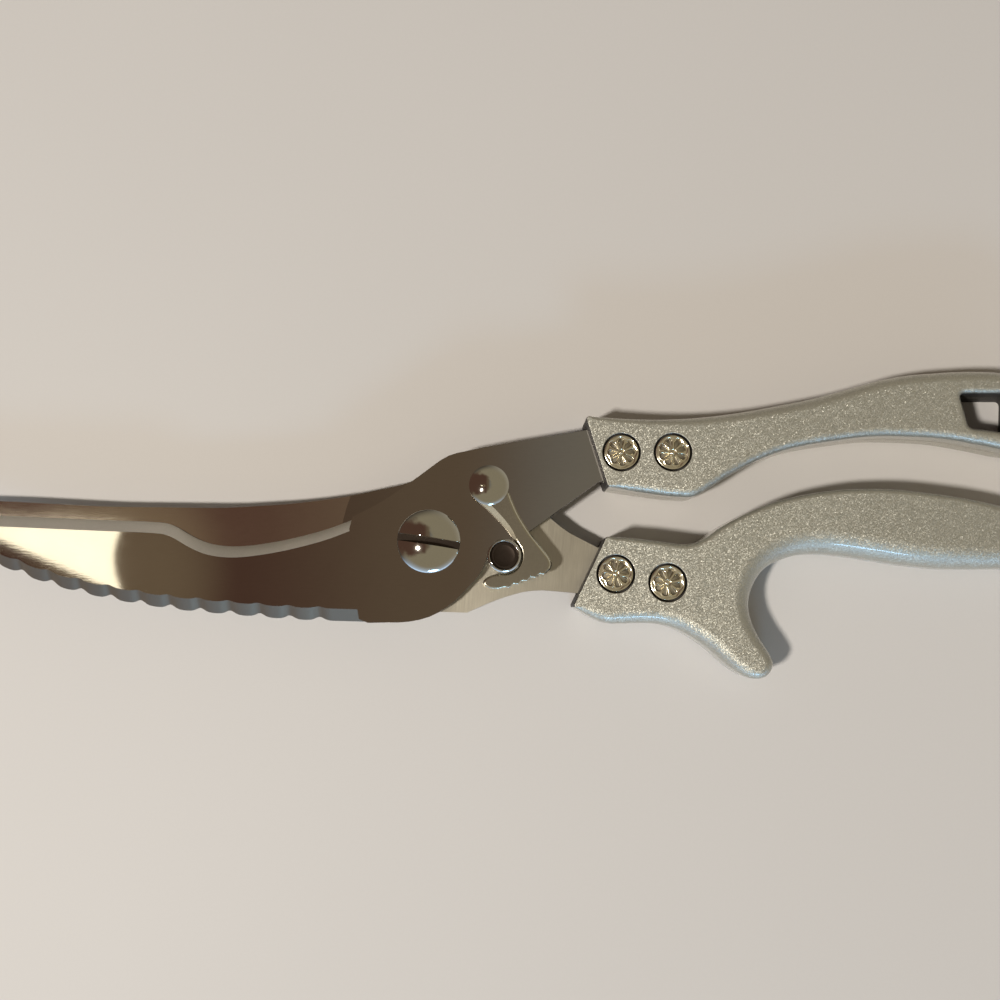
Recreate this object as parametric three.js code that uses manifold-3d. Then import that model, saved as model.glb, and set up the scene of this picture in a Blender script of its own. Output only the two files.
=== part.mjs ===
import * as THREE from "three";
import { mergeVertices } from "three/addons/utils/BufferGeometryUtils.js";
import Module from "manifold-3d";

const wasm = await Module();
wasm.setup();

// Poultry shears, closed and latched, lying on the rear face. Millimetres, +Z up, +X towards the handles.
// The origin is on the pivot axis, at the level of the surface the shears rest on.

// Levels
const HANDLE_THICK = 13;
const BLADE_THICK = 3;
const BLADE_GAP = 0.3;
const PARTING_GAP = 0.1;
const SEAT_GAP = 0.05;
const RUNNING_FIT = 0.06;

// Pivot
const PIVOT_SHANK_R = 3.6;
const PIVOT_HEAD_R = 6.6;
const PIVOT_RIM_H = 0.8;
const PIVOT_DOME_H = 2.2;
const PIVOT_SLOT_W = 1.6;
const PIVOT_SLOT_DEPTH = 2.3;
const PIVOT_SLOT_DEG = -8.8;
const PIVOT_END_CHAMFER = 0.3;
const NUT_ACROSS_FLATS = 11;
const WASHER_R = 7.5;
const WASHER_H = 0.85;

// Return spring, wound flat around the pivot
const SPRING_WIRE = 1.4;
const SPRING_IN_R = 5;
const SPRING_PITCH = 1.9;
const SPRING_TURNS = 1.9;
const SPRING_LEG = 2;
const SPRING_BEND = 0.9;
const SPRING_START_DEG = 100;
const SPRING_ROOM = 0.5;
const SPRING_STEPS = 56;
const WIRE_SIDES = 6;

// Ground edges of the blades
const CUT_BEVEL = 2.45;
const CUT_LAND = 0.3;
const SCALER_BEVEL = 2.55;
const SCALER_LAND = 0.7;
const BEVEL_SHARE = 0.36;
const SCALLOP_PITCH = 6.28;
const SCALLOP_FIRST_X = -23;
const SCALLOP_COUNT = 14;
const SCALLOP_DEPTH = 1.05;
const SCALLOP_HEEL_DEPTH = 0.75;
const SCALLOP_HALF_W = 1.25;
const SCALLOP_SHARE = 0.12;
const SCALLOP_STATIONS = [-2.2, -1.5, -1, -0.65, -0.3, 0, 0.3, 0.65, 1, 1.5, 2.2];
const SCALLOP_LEAN = 0.5;
const SPINE_CHAMFER = 0.8;
const SPINE_SHARE = 0.2;
const REAR_RELIEF = 0.15;
const BLADE_STATION = 3.2;
const LEAST_STATION = 0.2;
const PLATE_STEP = 2.2;

// Front blade in plan: tang, shoulder, heel, and the two edges of the blade
const BLADE_FROM_X = -13;
const BLADE_TO_X = -114.6;
const FRONT_TANG_TOP = [[57, 21.8], [33.2, 23.5]];
const FRONT_TANG_LOW = [[35.8, 12.7], [57, 15.5]];
const FRONT_SHOULDER = [
  [14.8, 20.4], [8, 19.1], [4.6, 18.3], [2.2, 17], [-1, 14.6], [-5, 11.7], [-10, 8.3], [-16.1, 5.1],
];
const FRONT_INSIDE = [[-16.7, 2.6], [-14.8, -14.4]];
const FRONT_HEEL = [
  [-14.5, -16.2], [-13.9, -16.8], [-9, -16.9], [-4.5, -16.8], [0.2, -15.7], [4.8, -13], [8.4, -9.4],
];
const FRONT_NECK = [[21.3, 2.3]];
const DISC_FROM_DEG = -46;
const STUD_SEAT_DEG = [168, 66.2];
const CUT_EDGE = [
  [-12, 6.6], [-16.5, 4.65], [-21.8, 2.7], [-27.2, 1.2], [-33.7, -0.15], [-40.2, -0.9], [-44.4, -0.7],
  [-47.4, 0], [-50.5, 1.4], [-53.4, 3.1], [-55.4, 3.9], [-58, 4.2], [-68, 4.6], [-91, 5.6], [-115, 7.1],
];
const SCALER_EDGE = [
  [-12, -16.8], [-28, -16.3], [-40, -15.4], [-54, -14.1], [-66, -12.2], [-76, -10], [-84, -7.5],
  [-92, -4.3], [-100, -0.7], [-108, 3.1], [-115, 6.4],
];

// Rear blade in plan, from the low side of the tang round to its top side
const REAR_FROM_X = -14.5;
const REAR_TANG_TOP = [[35.5, -1.1], [57, -5.5]];
const REAR_TANG_LOW = [[57, -14.3], [30.6, -10.7]];
const REAR_BELLY = [[24, -10.15], [20.4, -10.4], [15.8, -11.65], [11.9, -13.1], [7.9, -14.9]];
const REAR_HEEL = [[2.2, -14.7], [-6, -13.6], [-14, -11.6], [-19.6, -10]];
const REAR_INSIDE = [[-18.4, 4.8], [-17.8, 7.1], [-16.9, 9.8]];
const REAR_SHOULDER = [
  [-11.1, 11.1], [-6.4, 12.1], [-2, 13.6], [5, 15.4], [12, 15.2], [18, 12.4], [22.4, 8.4],
];
const REAR_NECK = [[25.8, 4.9], [28.9, 2.4], [31.4, 1], [35.5, -1.1]];
const REAR_BACK = [
  [-13, 10.7], [-17.2, 9.8], [-21.3, 9.2], [-29.5, 8.2], [-36, 7.75], [-43.6, 7.35], [-52, 7.4],
  [-68, 7.6], [-76, 7.95], [-91, 8.75], [-104, 8.9], [-115, 8],
];
const REAR_EDGE = [
  [-13, -11.8], [-20, -9.9], [-38, -6.3], [-59, -2.9], [-81, 0.9], [-102, 4.7], [-115, 7.2],
];

// Latch and the stud it holds
const LATCH_THICK = 2;
const LATCH_LIFT = 0.2;
const LATCH_HINGE = [12.6, 11.6];
const LATCH_END_INSET = 0.25;
const LATCH_END_DEG = [-10, 232];
const HOOK_ROOM = 0.25;
const HOOK_DEG = [42, -90];
const LATCH_THROAT = [[13.9, 5], [16.7, 1.9], [18.1, -0.2]];
const LATCH_BEAK = [
  [13.9, -6.95], [12.4, -7.5], [11.4, -8.4], [11.6, -9.2], [12.6, -9.8], [14.4, -10.05],
];
const LATCH_BACK = [[25.3, -6.1], [25.7, -5], [25.4, -3.8], [23.4, -1.1], [21, 2], [18.7, 5.8], [17.3, 9]];
const BEAK_STEP = 0.7;
const THUMB_FROM = [15.9, -9.9];
const THUMB_TO = [24.9, -6.5];
const THUMB_RIB_PITCH = 1.95;
const THUMB_RIB_H = 0.45;
const THUMB_RIB_STEPS = 4;
const LATCH_RIVET_SHANK_R = 2.3;
const LATCH_RIVET_HEAD_R = 4.15;
const LATCH_RIVET_RIM_H = 0.3;
const LATCH_RIVET_DOME_H = 1.4;
const LATCH_RIVET_FLARE = 0.8;
const STUD = [15.74, -3.12];
const STUD_BODY_R = 3.1;
const STUD_WAIST_R = 2.2;
const STUD_HEAD_R = 3.5;
const STUD_HEAD_H = 1;
const STUD_EDGE = 0.27;
const STUD_DISH_R = 2.7;
const STUD_DISH_FLOOR_R = 2.2;
const STUD_DISH_DEPTH = 1.3;
const STUD_TAIL_R = 2.35;
const STUD_ROOM = 0.35;

// Handle rivets
const RIVET_HEAD_R = 3.65;
const RIVET_HEAD_H = 1.2;
const RIVET_SINK = 0.15;
const RIVET_BORE_GAP = 0.35;
const RIVET_SHANK_R = 2.2;
const RIVET_BARREL_R = 2.9;
const RIVET_BARREL_GAP = 0.3;
const RIVET_HOLE_GAP = 0.1;
const RIVET_EDGE_IN = 0.4;
const RIVET_EDGE_DROP = 0.25;
const PETALS = 8;
const PETAL_FROM_R = 0.88;
const PETAL_MID_R = 2.26;
const PETAL_TO_R = 3.14;
const PETAL_DEPTH = 0.4;
const PETAL_SPOKES = 4;
const UPPER_RIVETS = [[40.2, 18.4], [50.9, 18.4]];
const LOWER_RIVETS = [[38.8, -6.9], [49.5, -8.7]];

// Handles in plan: [x, y, rounding] along the edge, counter-clockwise from the front low corner
const OUTLINE_STEP = 3.2;
const ROUNDING_DEG = [0, 45, 90];
const UPPER_OUTLINE = [
  [37.2, 11.3, 0.8], [44.5, 10.1, 1.2], [52, 9.2, 1.2], [55.3, 9.3, 1.2], [59, 11.3, 1.2],
  [62.5, 13.5, 1.2], [69.3, 17.1, 1.2], [76, 19.4, 1.2], [85, 21, 1.2], [93, 21.9, 1.2],
  [99.2, 21.9, 1.2], [107.5, 21.4, 1.4], [115.7, 20, 1.6], [123.3, 18.5, 2], [126.8, 18.6, 2.2],
  [129.5, 21.4, 2.4], [130.4, 26, 2.5], [129, 30.8, 2.5], [125.4, 34, 2.5], [120.3, 35.4, 2.4],
  [112.9, 35.7, 2.4], [106.8, 35.4, 2.4], [100.8, 34.9, 2.4], [94.7, 33.8, 2.4], [88.6, 32.1, 2.4],
  [80.5, 29.9, 2.4], [74.1, 28.6, 2.4], [65.5, 27, 2.2], [58, 26, 2], [51.7, 25.5, 1.6],
  [45.7, 25.4, 1.4], [37.7, 25.7, 1], [32.6, 26.1, 0.8],
];
const LOWER_OUTLINE = [
  [29.9, -13.6, 0.8], [33.8, -15.8, 1.2], [36.9, -17, 1.6], [40, -17.1, 2], [44, -17, 2.4],
  [48.2, -17.3, 2.6], [52.5, -18.7, 2.6], [57.8, -22.1, 2.6], [63, -26.5, 2.6], [66.4, -28.3, 2.6],
  [69, -28.3, 2.4], [70.5, -27.2, 2.4], [71.2, -25.4, 2.4], [70.3, -23, 2.4], [68.4, -19.8, 2.6],
  [67, -16.4, 3], [66.6, -12.8, 3.4], [67.6, -9.3, 3.8], [69.9, -6, 4.2], [73.3, -4, 4.6],
  [77.6, -2.8, 4.8], [83.5, -2.7, 5], [92.7, -3.9, 5], [99.8, -5, 5], [106.9, -5.7, 5],
  [114, -5.8, 4.8], [121, -5.8, 4.2], [126.5, -6.6, 3.6], [130, -6, 3], [131.4, -3, 2.6],
  [130.2, 1, 2.2], [126.4, 4.6, 1.8], [119.3, 7.1, 1.4], [112, 8.7, 1.1], [104, 9.9, 1.1],
  [96, 10.7, 1.1], [88, 10.7, 1.1], [82.3, 10.2, 1.1], [73.7, 8.5, 1.1], [67.3, 6.2, 1.1],
  [60.9, 2.9, 1.1], [57.4, 0.5, 1.1], [55.2, -0.5, 1.1], [52.4, -0.7, 1.1], [47.3, -0.1, 1],
  [41.4, 0.6, 1], [36.8, 0.8, 0.8],
];

// Hanging slot in the upper handle, and the room for the tangs inside the handles
const HANG_CORNERS = [[111.1, 30.9], [112.8, 23.6], [123.4, 22.2], [123.9, 30.9]];
const HANG_CORNER_R = 1.6;
const TANG_ROOM = 0.25;
const TANG_LEAD = 12;

const TAU = 2 * Math.PI;
const ROUND = 36;
const SMALL_ROUND = 24;
const CORNER_STEPS = 5;
const DOME_STEPS = 6;
const MARGIN = 1;

const PARTING = HANDLE_THICK / 2;
const FRONT_INNER = PARTING + BLADE_GAP / 2;
const FRONT_OUTER = FRONT_INNER + BLADE_THICK;
const REAR_INNER = PARTING - BLADE_GAP / 2;
const REAR_OUTER = REAR_INNER - BLADE_THICK;

const rad = THREE.MathUtils.degToRad;
const vectors = (pairs) => pairs.map(([x, y]) => new THREE.Vector2(x, y));

// A geometry from a flat list of corners and a list of triangles.
function meshed(corners, faces) {
  const geometry = new THREE.BufferGeometry();
  geometry.setAttribute("position", new THREE.BufferAttribute(new Float32Array(corners), 3));
  geometry.setIndex(faces);
  return geometry;
}

// A closed body from a geometry, with corners shared and empty triangles left out.
function solid(geometry) {
  const bare = new THREE.BufferGeometry();
  bare.setAttribute("position", geometry.getAttribute("position").clone());
  if (geometry.index) bare.setIndex(geometry.index.clone());
  const merged = mergeVertices(bare, 1e-4);
  const source = merged.index.array;
  const triangles = [];
  for (let i = 0; i < source.length; i += 3) {
    const [a, b, c] = [source[i], source[i + 1], source[i + 2]];
    if (a !== b && b !== c && c !== a) triangles.push(a, b, c);
  }
  const body = (list) => new wasm.Manifold(new wasm.Mesh({
    numProp: 3,
    vertProperties: new Float32Array(merged.getAttribute("position").array),
    triVerts: new Uint32Array(list),
  }));
  const first = body(triangles);
  if (first.volume() > 0) return first;
  const flipped = [];
  for (let i = 0; i < triangles.length; i += 3) {
    flipped.push(triangles[i], triangles[i + 2], triangles[i + 1]);
  }
  return body(flipped);
}

// Upright prism on a plan outline.
function prism(outline, low, high) {
  const shape = new THREE.Shape(outline);
  const geometry = new THREE.ExtrudeGeometry(shape, { depth: high - low, bevelEnabled: false });
  geometry.translate(0, 0, low);
  return solid(geometry);
}

// Turned body: profile of [radius, height] pairs, axis at a point of the plan.
function turned(profile, [x, y] = [0, 0], segments = ROUND) {
  const geometry = new THREE.LatheGeometry(vectors(profile), segments);
  geometry.rotateX(Math.PI / 2);
  geometry.translate(x, y, 0);
  return solid(geometry);
}

// Plain round bar between two levels.
function bar(radius, low, high, place = [0, 0], segments = ROUND) {
  return turned([[0, low], [radius, low], [radius, high], [0, high]], place, segments);
}

// Cap of a ball as [radius, height] pairs, from its rim to its top.
function dome(radius, low, height) {
  const ball = (radius * radius + height * height) / (2 * height);
  const rim = Math.asin(radius / ball);
  const pairs = [];
  for (let i = 0; i < DOME_STEPS; i += 1) {
    const angle = rim * (1 - i / DOME_STEPS);
    pairs.push([ball * Math.sin(angle), low + height - ball * (1 - Math.cos(angle))]);
  }
  pairs.push([0, low + height]);
  return pairs;
}

// Smooth run of points through the given ones.
function through(pairs, spacing = PLATE_STEP) {
  const points = pairs.map(([x, y]) => new THREE.Vector3(x, y, 0));
  const curve = new THREE.CatmullRomCurve3(points, false, "centripetal");
  const count = Math.max(2, Math.round(curve.getLength() / spacing));
  return curve.getSpacedPoints(count).map((p) => new THREE.Vector2(p.x, p.y));
}

// Points of an arc about a centre, from one angle to another, in degrees.
function arc([cx, cy], radius, [from, to], count) {
  const points = [];
  for (let i = 0; i <= count; i += 1) {
    const angle = rad(from + ((to - from) * i) / count);
    points.push(new THREE.Vector2(cx + radius * Math.cos(angle), cy + radius * Math.sin(angle)));
  }
  return points;
}

// Corners of a regular polygon about the origin.
function polygon(radius, sides) {
  return Array.from({ length: sides }, (_, k) => {
    const angle = (k / sides) * TAU;
    return new THREE.Vector2(radius * Math.cos(angle), radius * Math.sin(angle));
  });
}

// Height of an edge of the blade over the length of the blade.
function edge(pairs) {
  const sorted = [...pairs].sort((a, b) => a[0] - b[0]);
  const xs = new Float32Array(sorted.map((p) => p[0]));
  const ys = new Float32Array(sorted.map((p) => p[1]));
  const interpolant = new THREE.CubicInterpolant(xs, ys, 1, new Float32Array(1));
  return (x) => interpolant.evaluate(x)[0];
}

// Body through a row of sections along X, each a ring of [y, z] pairs.
function lofted(sections) {
  const size = sections[0].ring.length;
  const corners = [];
  const faces = [];
  for (const { x, ring } of sections) {
    for (const [y, z] of ring) corners.push(x, y, z);
  }
  for (let s = 0; s + 1 < sections.length; s += 1) {
    for (let k = 0; k < size; k += 1) {
      const a = s * size + k;
      const b = s * size + ((k + 1) % size);
      faces.push(a, b, b + size, a, b + size, a + size);
    }
  }
  const last = (sections.length - 1) * size;
  for (let k = 1; k + 1 < size; k += 1) {
    faces.push(0, k + 1, k);
    faces.push(last, last + k, last + k + 1);
  }
  return solid(meshed(corners, faces));
}

// Stations along the blade, closer together at the scallops.
function stations(from, to, centres) {
  const list = [from, to];
  for (let x = from; x > to; x -= BLADE_STATION) list.push(x);
  for (const centre of centres) {
    for (const share of SCALLOP_STATIONS) list.push(centre + share * SCALLOP_HALF_W);
  }
  const sorted = list.filter((x) => x <= from && x >= to).sort((a, b) => b - a);
  return sorted.filter((x, i) => i === 0 || sorted[i - 1] - x > LEAST_STATION);
}

// Return spring: a leg up into the front blade, a flat coil and a leg down into the rear blade.
const springOutR = SPRING_IN_R + SPRING_PITCH * SPRING_TURNS;
const springSweep = SPRING_TURNS * TAU;
const springStart = rad(SPRING_START_DEG);
const springStraight = SPRING_LEG - SPRING_BEND;
const springBend = (Math.PI / 2) * SPRING_BEND;
const springCoil = SPRING_TURNS * Math.PI * (SPRING_IN_R + springOutR);
const springLength = 2 * (springStraight + springBend) + springCoil;
const springRate = (springSweep - SPRING_BEND / SPRING_IN_R - SPRING_BEND / springOutR) / springCoil;

function springPoint(share) {
  const along = share * springLength;
  const near = Math.min(along, springLength - along);
  const first = along === near;
  const bend = THREE.MathUtils.clamp((near - springStraight) / SPRING_BEND, 0, Math.PI / 2);
  const rise = Math.max(0, springStraight - near) + SPRING_BEND * (1 - Math.sin(bend));
  const onward = SPRING_BEND * (1 - Math.cos(bend));
  const coiled = Math.max(0, near - springStraight - springBend);
  const turn = onward / (first ? SPRING_IN_R : springOutR) + coiled * springRate;
  const swept = first ? turn : springSweep - turn;
  const radius = SPRING_IN_R + (SPRING_PITCH * swept) / TAU;
  const angle = springStart + swept;
  const level = PARTING + (first ? rise : -rise);
  return new THREE.Vector3(radius * Math.cos(angle), radius * Math.sin(angle), level);
}

class SpringPath extends THREE.Curve {
  getPoint(share, target = new THREE.Vector3()) {
    return target.copy(springPoint(share));
  }
}

// Least gap between turns of the wire that lie beside each other.
function springGap() {
  const count = 400;
  const apart = count / 10;
  const trail = Array.from({ length: count + 1 }, (_, i) => springPoint(i / count));
  let least = Infinity;
  for (let i = 0; i <= count; i += 1) {
    for (let j = i + apart; j <= count; j += 1) {
      least = Math.min(least, trail[i].distanceTo(trail[j]) - SPRING_WIRE);
    }
  }
  return least;
}

const returnSpring = solid(new THREE.ExtrudeGeometry(new THREE.Shape(polygon(SPRING_WIRE / 2, WIRE_SIDES)), {
  steps: SPRING_STEPS,
  bevelEnabled: false,
  extrudePath: new SpringPath(),
}));
console.log(`return spring: least gap to itself ${springGap().toFixed(2)} mm`);

const pocketR = springOutR + SPRING_WIRE / 2 + SPRING_ROOM;
const pocketDepth = (SPRING_WIRE - BLADE_GAP) / 2 + SPRING_ROOM;
const springHoleR = SPRING_WIRE / 2 + SPRING_ROOM / 2;
const springReach = SPRING_LEG + SPRING_ROOM / 2;
const springFoot = (share) => springPoint(share).toArray().slice(0, 2);

// Front blade: plate around the pivot with its tang, and the ground blade.
const pivotBoreR = PIVOT_SHANK_R + RUNNING_FIT;
const rivetHoleR = RIVET_SHANK_R + RIVET_HOLE_GAP;
const latchHoleR = LATCH_RIVET_SHANK_R + RUNNING_FIT;
const flareHoleR = latchHoleR + LATCH_RIVET_FLARE;
const flareLow = FRONT_INNER + SEAT_GAP;
const studDeg = THREE.MathUtils.radToDeg(Math.atan2(STUD[1], STUD[0]));
const studSeatR = STUD_BODY_R + STUD_ROOM;
const studSeatDeg = STUD_SEAT_DEG.map((deg) => studDeg + deg);
const discR = Math.hypot(...STUD) - studSeatR;
const frontPlate = [
  ...vectors(FRONT_TANG_TOP),
  ...through(FRONT_SHOULDER),
  ...vectors(FRONT_INSIDE),
  ...through(FRONT_HEEL),
  ...arc([0, 0], discR, [DISC_FROM_DEG, studDeg], 12),
  ...arc(STUD, studSeatR, studSeatDeg, 9),
  ...vectors(FRONT_NECK),
  ...vectors(FRONT_TANG_LOW),
];

const scallops = Array.from({ length: SCALLOP_COUNT }, (_, n) => SCALLOP_FIRST_X - n * SCALLOP_PITCH);
const notch = (x) => scallops.reduce((sum, c) => sum + Math.exp(-(((x - c) / SCALLOP_HALF_W) ** 2)), 0);
const scallopRun = scallops[0] - scallops[SCALLOP_COUNT - 1];
const scallopDepth = (x) => {
  const share = THREE.MathUtils.clamp((scallops[0] - x) / scallopRun, 0, 1);
  return THREE.MathUtils.lerp(SCALLOP_HEEL_DEPTH, SCALLOP_DEPTH, share);
};
const cutEdge = edge(CUT_EDGE);
const scalerEdge = edge(SCALER_EDGE);
const frontSections = stations(BLADE_FROM_X, BLADE_TO_X, scallops).map((x) => {
  const top = cutEdge(x);
  const outer = scalerEdge(x);
  const height = top - outer;
  const bite = Math.min(scallopDepth(x), SCALLOP_SHARE * height) * notch(x);
  const low = outer + bite;
  const cutIn = top - Math.min(CUT_BEVEL, BEVEL_SHARE * height);
  const scalerIn = outer + Math.min(SCALER_BEVEL, BEVEL_SHARE * height) + SCALLOP_LEAN * bite;
  return {
    x,
    ring: [
      [top, FRONT_INNER], [top, FRONT_INNER + CUT_LAND], [cutIn, FRONT_OUTER],
      [scalerIn, FRONT_OUTER], [low, FRONT_INNER + SCALER_LAND], [low, FRONT_INNER],
    ],
  };
});

let frontBlade = prism(frontPlate, FRONT_INNER, FRONT_OUTER).add(lofted(frontSections));
frontBlade = frontBlade.subtract(bar(pivotBoreR, 0, HANDLE_THICK));
frontBlade = frontBlade.subtract(bar(pocketR, PARTING, FRONT_INNER + pocketDepth));
const innerFoot = springFoot(0);
frontBlade = frontBlade.subtract(bar(springHoleR, PARTING, PARTING + springReach, innerFoot, SMALL_ROUND));
frontBlade = frontBlade.subtract(turned([
  [0, PARTING], [flareHoleR, PARTING], [flareHoleR, flareLow],
  [latchHoleR, flareLow + LATCH_RIVET_FLARE], [latchHoleR, HANDLE_THICK], [0, HANDLE_THICK],
], LATCH_HINGE, SMALL_ROUND));
for (const place of UPPER_RIVETS) {
  frontBlade = frontBlade.subtract(bar(rivetHoleR, 0, HANDLE_THICK, place, SMALL_ROUND));
}

// Rear blade: the same build turned over, with its inner face relieved along the blade.
const rearPlate = [
  ...vectors(REAR_TANG_LOW),
  ...through(REAR_BELLY),
  ...through(REAR_HEEL),
  ...through(REAR_INSIDE),
  ...through(REAR_SHOULDER),
  ...through(REAR_NECK),
  ...vectors(REAR_TANG_TOP.slice(1)),
];
const rearBack = edge(REAR_BACK);
const rearEdge = edge(REAR_EDGE);
const reliefTop = REAR_INNER - REAR_RELIEF;
const rearSections = stations(REAR_FROM_X, BLADE_TO_X, []).map((x) => {
  const back = rearBack(x);
  const low = rearEdge(x);
  const height = back - low;
  const chamfer = Math.min(SPINE_CHAMFER, SPINE_SHARE * height);
  const bevel = Math.min(CUT_BEVEL, BEVEL_SHARE * height);
  return {
    x,
    ring: [
      [back, REAR_OUTER + chamfer], [back, reliefTop], [low, reliefTop],
      [low, reliefTop - CUT_LAND], [low + bevel, REAR_OUTER], [back - chamfer, REAR_OUTER],
    ],
  };
});

const studHoleR = STUD_TAIL_R + RUNNING_FIT;
let rearBlade = prism(rearPlate, REAR_OUTER, REAR_INNER).add(lofted(rearSections));
rearBlade = rearBlade.subtract(bar(pivotBoreR, 0, HANDLE_THICK));
rearBlade = rearBlade.subtract(bar(pocketR, REAR_INNER - pocketDepth, PARTING));
const outerFoot = springFoot(1);
rearBlade = rearBlade.subtract(bar(springHoleR, PARTING - springReach, PARTING, outerFoot, SMALL_ROUND));
rearBlade = rearBlade.subtract(bar(studHoleR, 0, HANDLE_THICK, STUD, SMALL_ROUND));
for (const place of LOWER_RIVETS) {
  rearBlade = rearBlade.subtract(bar(rivetHoleR, 0, HANDLE_THICK, place, SMALL_ROUND));
}

// Pivot screw with a domed, slotted head, its nut and the washer under the nut.
const screwSeat = FRONT_OUTER + SEAT_GAP;
const screwTop = screwSeat + PIVOT_RIM_H + PIVOT_DOME_H;
const slot = new THREE.BoxGeometry(4 * PIVOT_HEAD_R, PIVOT_SLOT_W, 2 * PIVOT_SLOT_DEPTH);
slot.rotateZ(rad(PIVOT_SLOT_DEG));
slot.translate(0, 0, screwTop);
const pivotScrew = turned([
  [0, 0],
  [PIVOT_SHANK_R - PIVOT_END_CHAMFER, 0],
  [PIVOT_SHANK_R, PIVOT_END_CHAMFER],
  [PIVOT_SHANK_R, screwSeat],
  [PIVOT_HEAD_R, screwSeat],
  ...dome(PIVOT_HEAD_R, screwSeat + PIVOT_RIM_H, PIVOT_DOME_H),
]).subtract(solid(slot));

const washerHigh = REAR_OUTER - 2 * SEAT_GAP;
const washerLow = washerHigh - WASHER_H;
const nutHigh = washerLow - SEAT_GAP;
const nutCorner = NUT_ACROSS_FLATS / 2 / Math.cos(Math.PI / 6);
const pivotBore = bar(pivotBoreR, -MARGIN, HANDLE_THICK);
const pivotWasher = bar(WASHER_R, washerLow, washerHigh).subtract(pivotBore);
const pivotNut = prism(polygon(nutCorner, 6), 0, nutHigh).subtract(pivotBore);

// Latch: a flat hook on its rivet, with a ribbed thumb edge.
const latchLow = FRONT_OUTER + LATCH_LIFT;
const latchHigh = latchLow + LATCH_THICK;
const [thumbFrom, thumbTo] = vectors([THUMB_FROM, THUMB_TO]);
const thumbOut = new THREE.Vector2(thumbTo.y - thumbFrom.y, thumbFrom.x - thumbTo.x).normalize();
const ribCount = Math.round(thumbFrom.distanceTo(thumbTo) / THUMB_RIB_PITCH);
const ribSteps = ribCount * THUMB_RIB_STEPS;
const thumbRibs = Array.from({ length: ribSteps + 1 }, (_, i) => {
  const share = i / ribSteps;
  const wave = -Math.cos(share * ribCount * TAU) / 2;
  return thumbFrom.clone().lerp(thumbTo, share).addScaledVector(thumbOut, THUMB_RIB_H * wave);
});
const latchOutline = [
  ...arc(LATCH_HINGE, LATCH_RIVET_HEAD_R - LATCH_END_INSET, LATCH_END_DEG, 18),
  ...through(LATCH_THROAT),
  ...arc(STUD, STUD_HEAD_R + HOOK_ROOM, HOOK_DEG, 14),
  ...through(LATCH_BEAK, BEAK_STEP),
  ...thumbRibs,
  ...through(LATCH_BACK),
];
const latchHole = bar(latchHoleR, 0, HANDLE_THICK, LATCH_HINGE, SMALL_ROUND);
const latch = prism(latchOutline, latchLow, latchHigh).subtract(latchHole);

// Domed head on a shank whose far end is flared flush into the front blade.
const latchRivetSeat = latchHigh + SEAT_GAP;
const latchRivet = turned([
  [0, flareLow],
  [LATCH_RIVET_SHANK_R + LATCH_RIVET_FLARE, flareLow],
  [LATCH_RIVET_SHANK_R, flareLow + LATCH_RIVET_FLARE],
  [LATCH_RIVET_SHANK_R, latchRivetSeat],
  [LATCH_RIVET_HEAD_R, latchRivetSeat],
  ...dome(LATCH_RIVET_HEAD_R, latchRivetSeat + LATCH_RIVET_RIM_H, LATCH_RIVET_DOME_H),
], LATCH_HINGE, SMALL_ROUND);

// Stud on the rear blade: body beside the front blade, waist for the hook, hollow head above the latch.
const studHeadLow = latchHigh + LATCH_LIFT;
const studTop = studHeadLow + STUD_HEAD_H;
const catchStud = turned([
  [0, REAR_OUTER + SEAT_GAP],
  [STUD_TAIL_R, REAR_OUTER + SEAT_GAP],
  [STUD_TAIL_R, REAR_INNER + SEAT_GAP],
  [STUD_BODY_R, REAR_INNER + SEAT_GAP],
  [STUD_BODY_R, FRONT_OUTER],
  [STUD_WAIST_R, FRONT_OUTER],
  [STUD_WAIST_R, studHeadLow],
  [STUD_HEAD_R - STUD_EDGE, studHeadLow],
  [STUD_HEAD_R, studHeadLow + STUD_EDGE],
  [STUD_HEAD_R, studTop - STUD_EDGE],
  [STUD_HEAD_R - STUD_EDGE, studTop],
  [STUD_DISH_R, studTop],
  [STUD_DISH_FLOOR_R, studTop - STUD_DISH_DEPTH],
  [0, studTop - STUD_DISH_DEPTH],
], STUD, SMALL_ROUND);

// Evenly spaced points of a handle outline, each with the rounding at that place.
function handleRim(marks) {
  const points = marks.map(([x, y, r]) => new THREE.Vector3(x, y, r));
  const curve = new THREE.CatmullRomCurve3(points, false, "centripetal");
  const rim = curve.getSpacedPoints(Math.round(curve.getLength() / OUTLINE_STEP));
  const lastMark = points[points.length - 1];
  const gap = lastMark.clone().sub(points[0]);
  const fill = Math.round(gap.length() / OUTLINE_STEP);
  for (let i = 1; i < fill; i += 1) rim.push(lastMark.clone().addScaledVector(gap, -i / fill));
  return rim;
}

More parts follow.
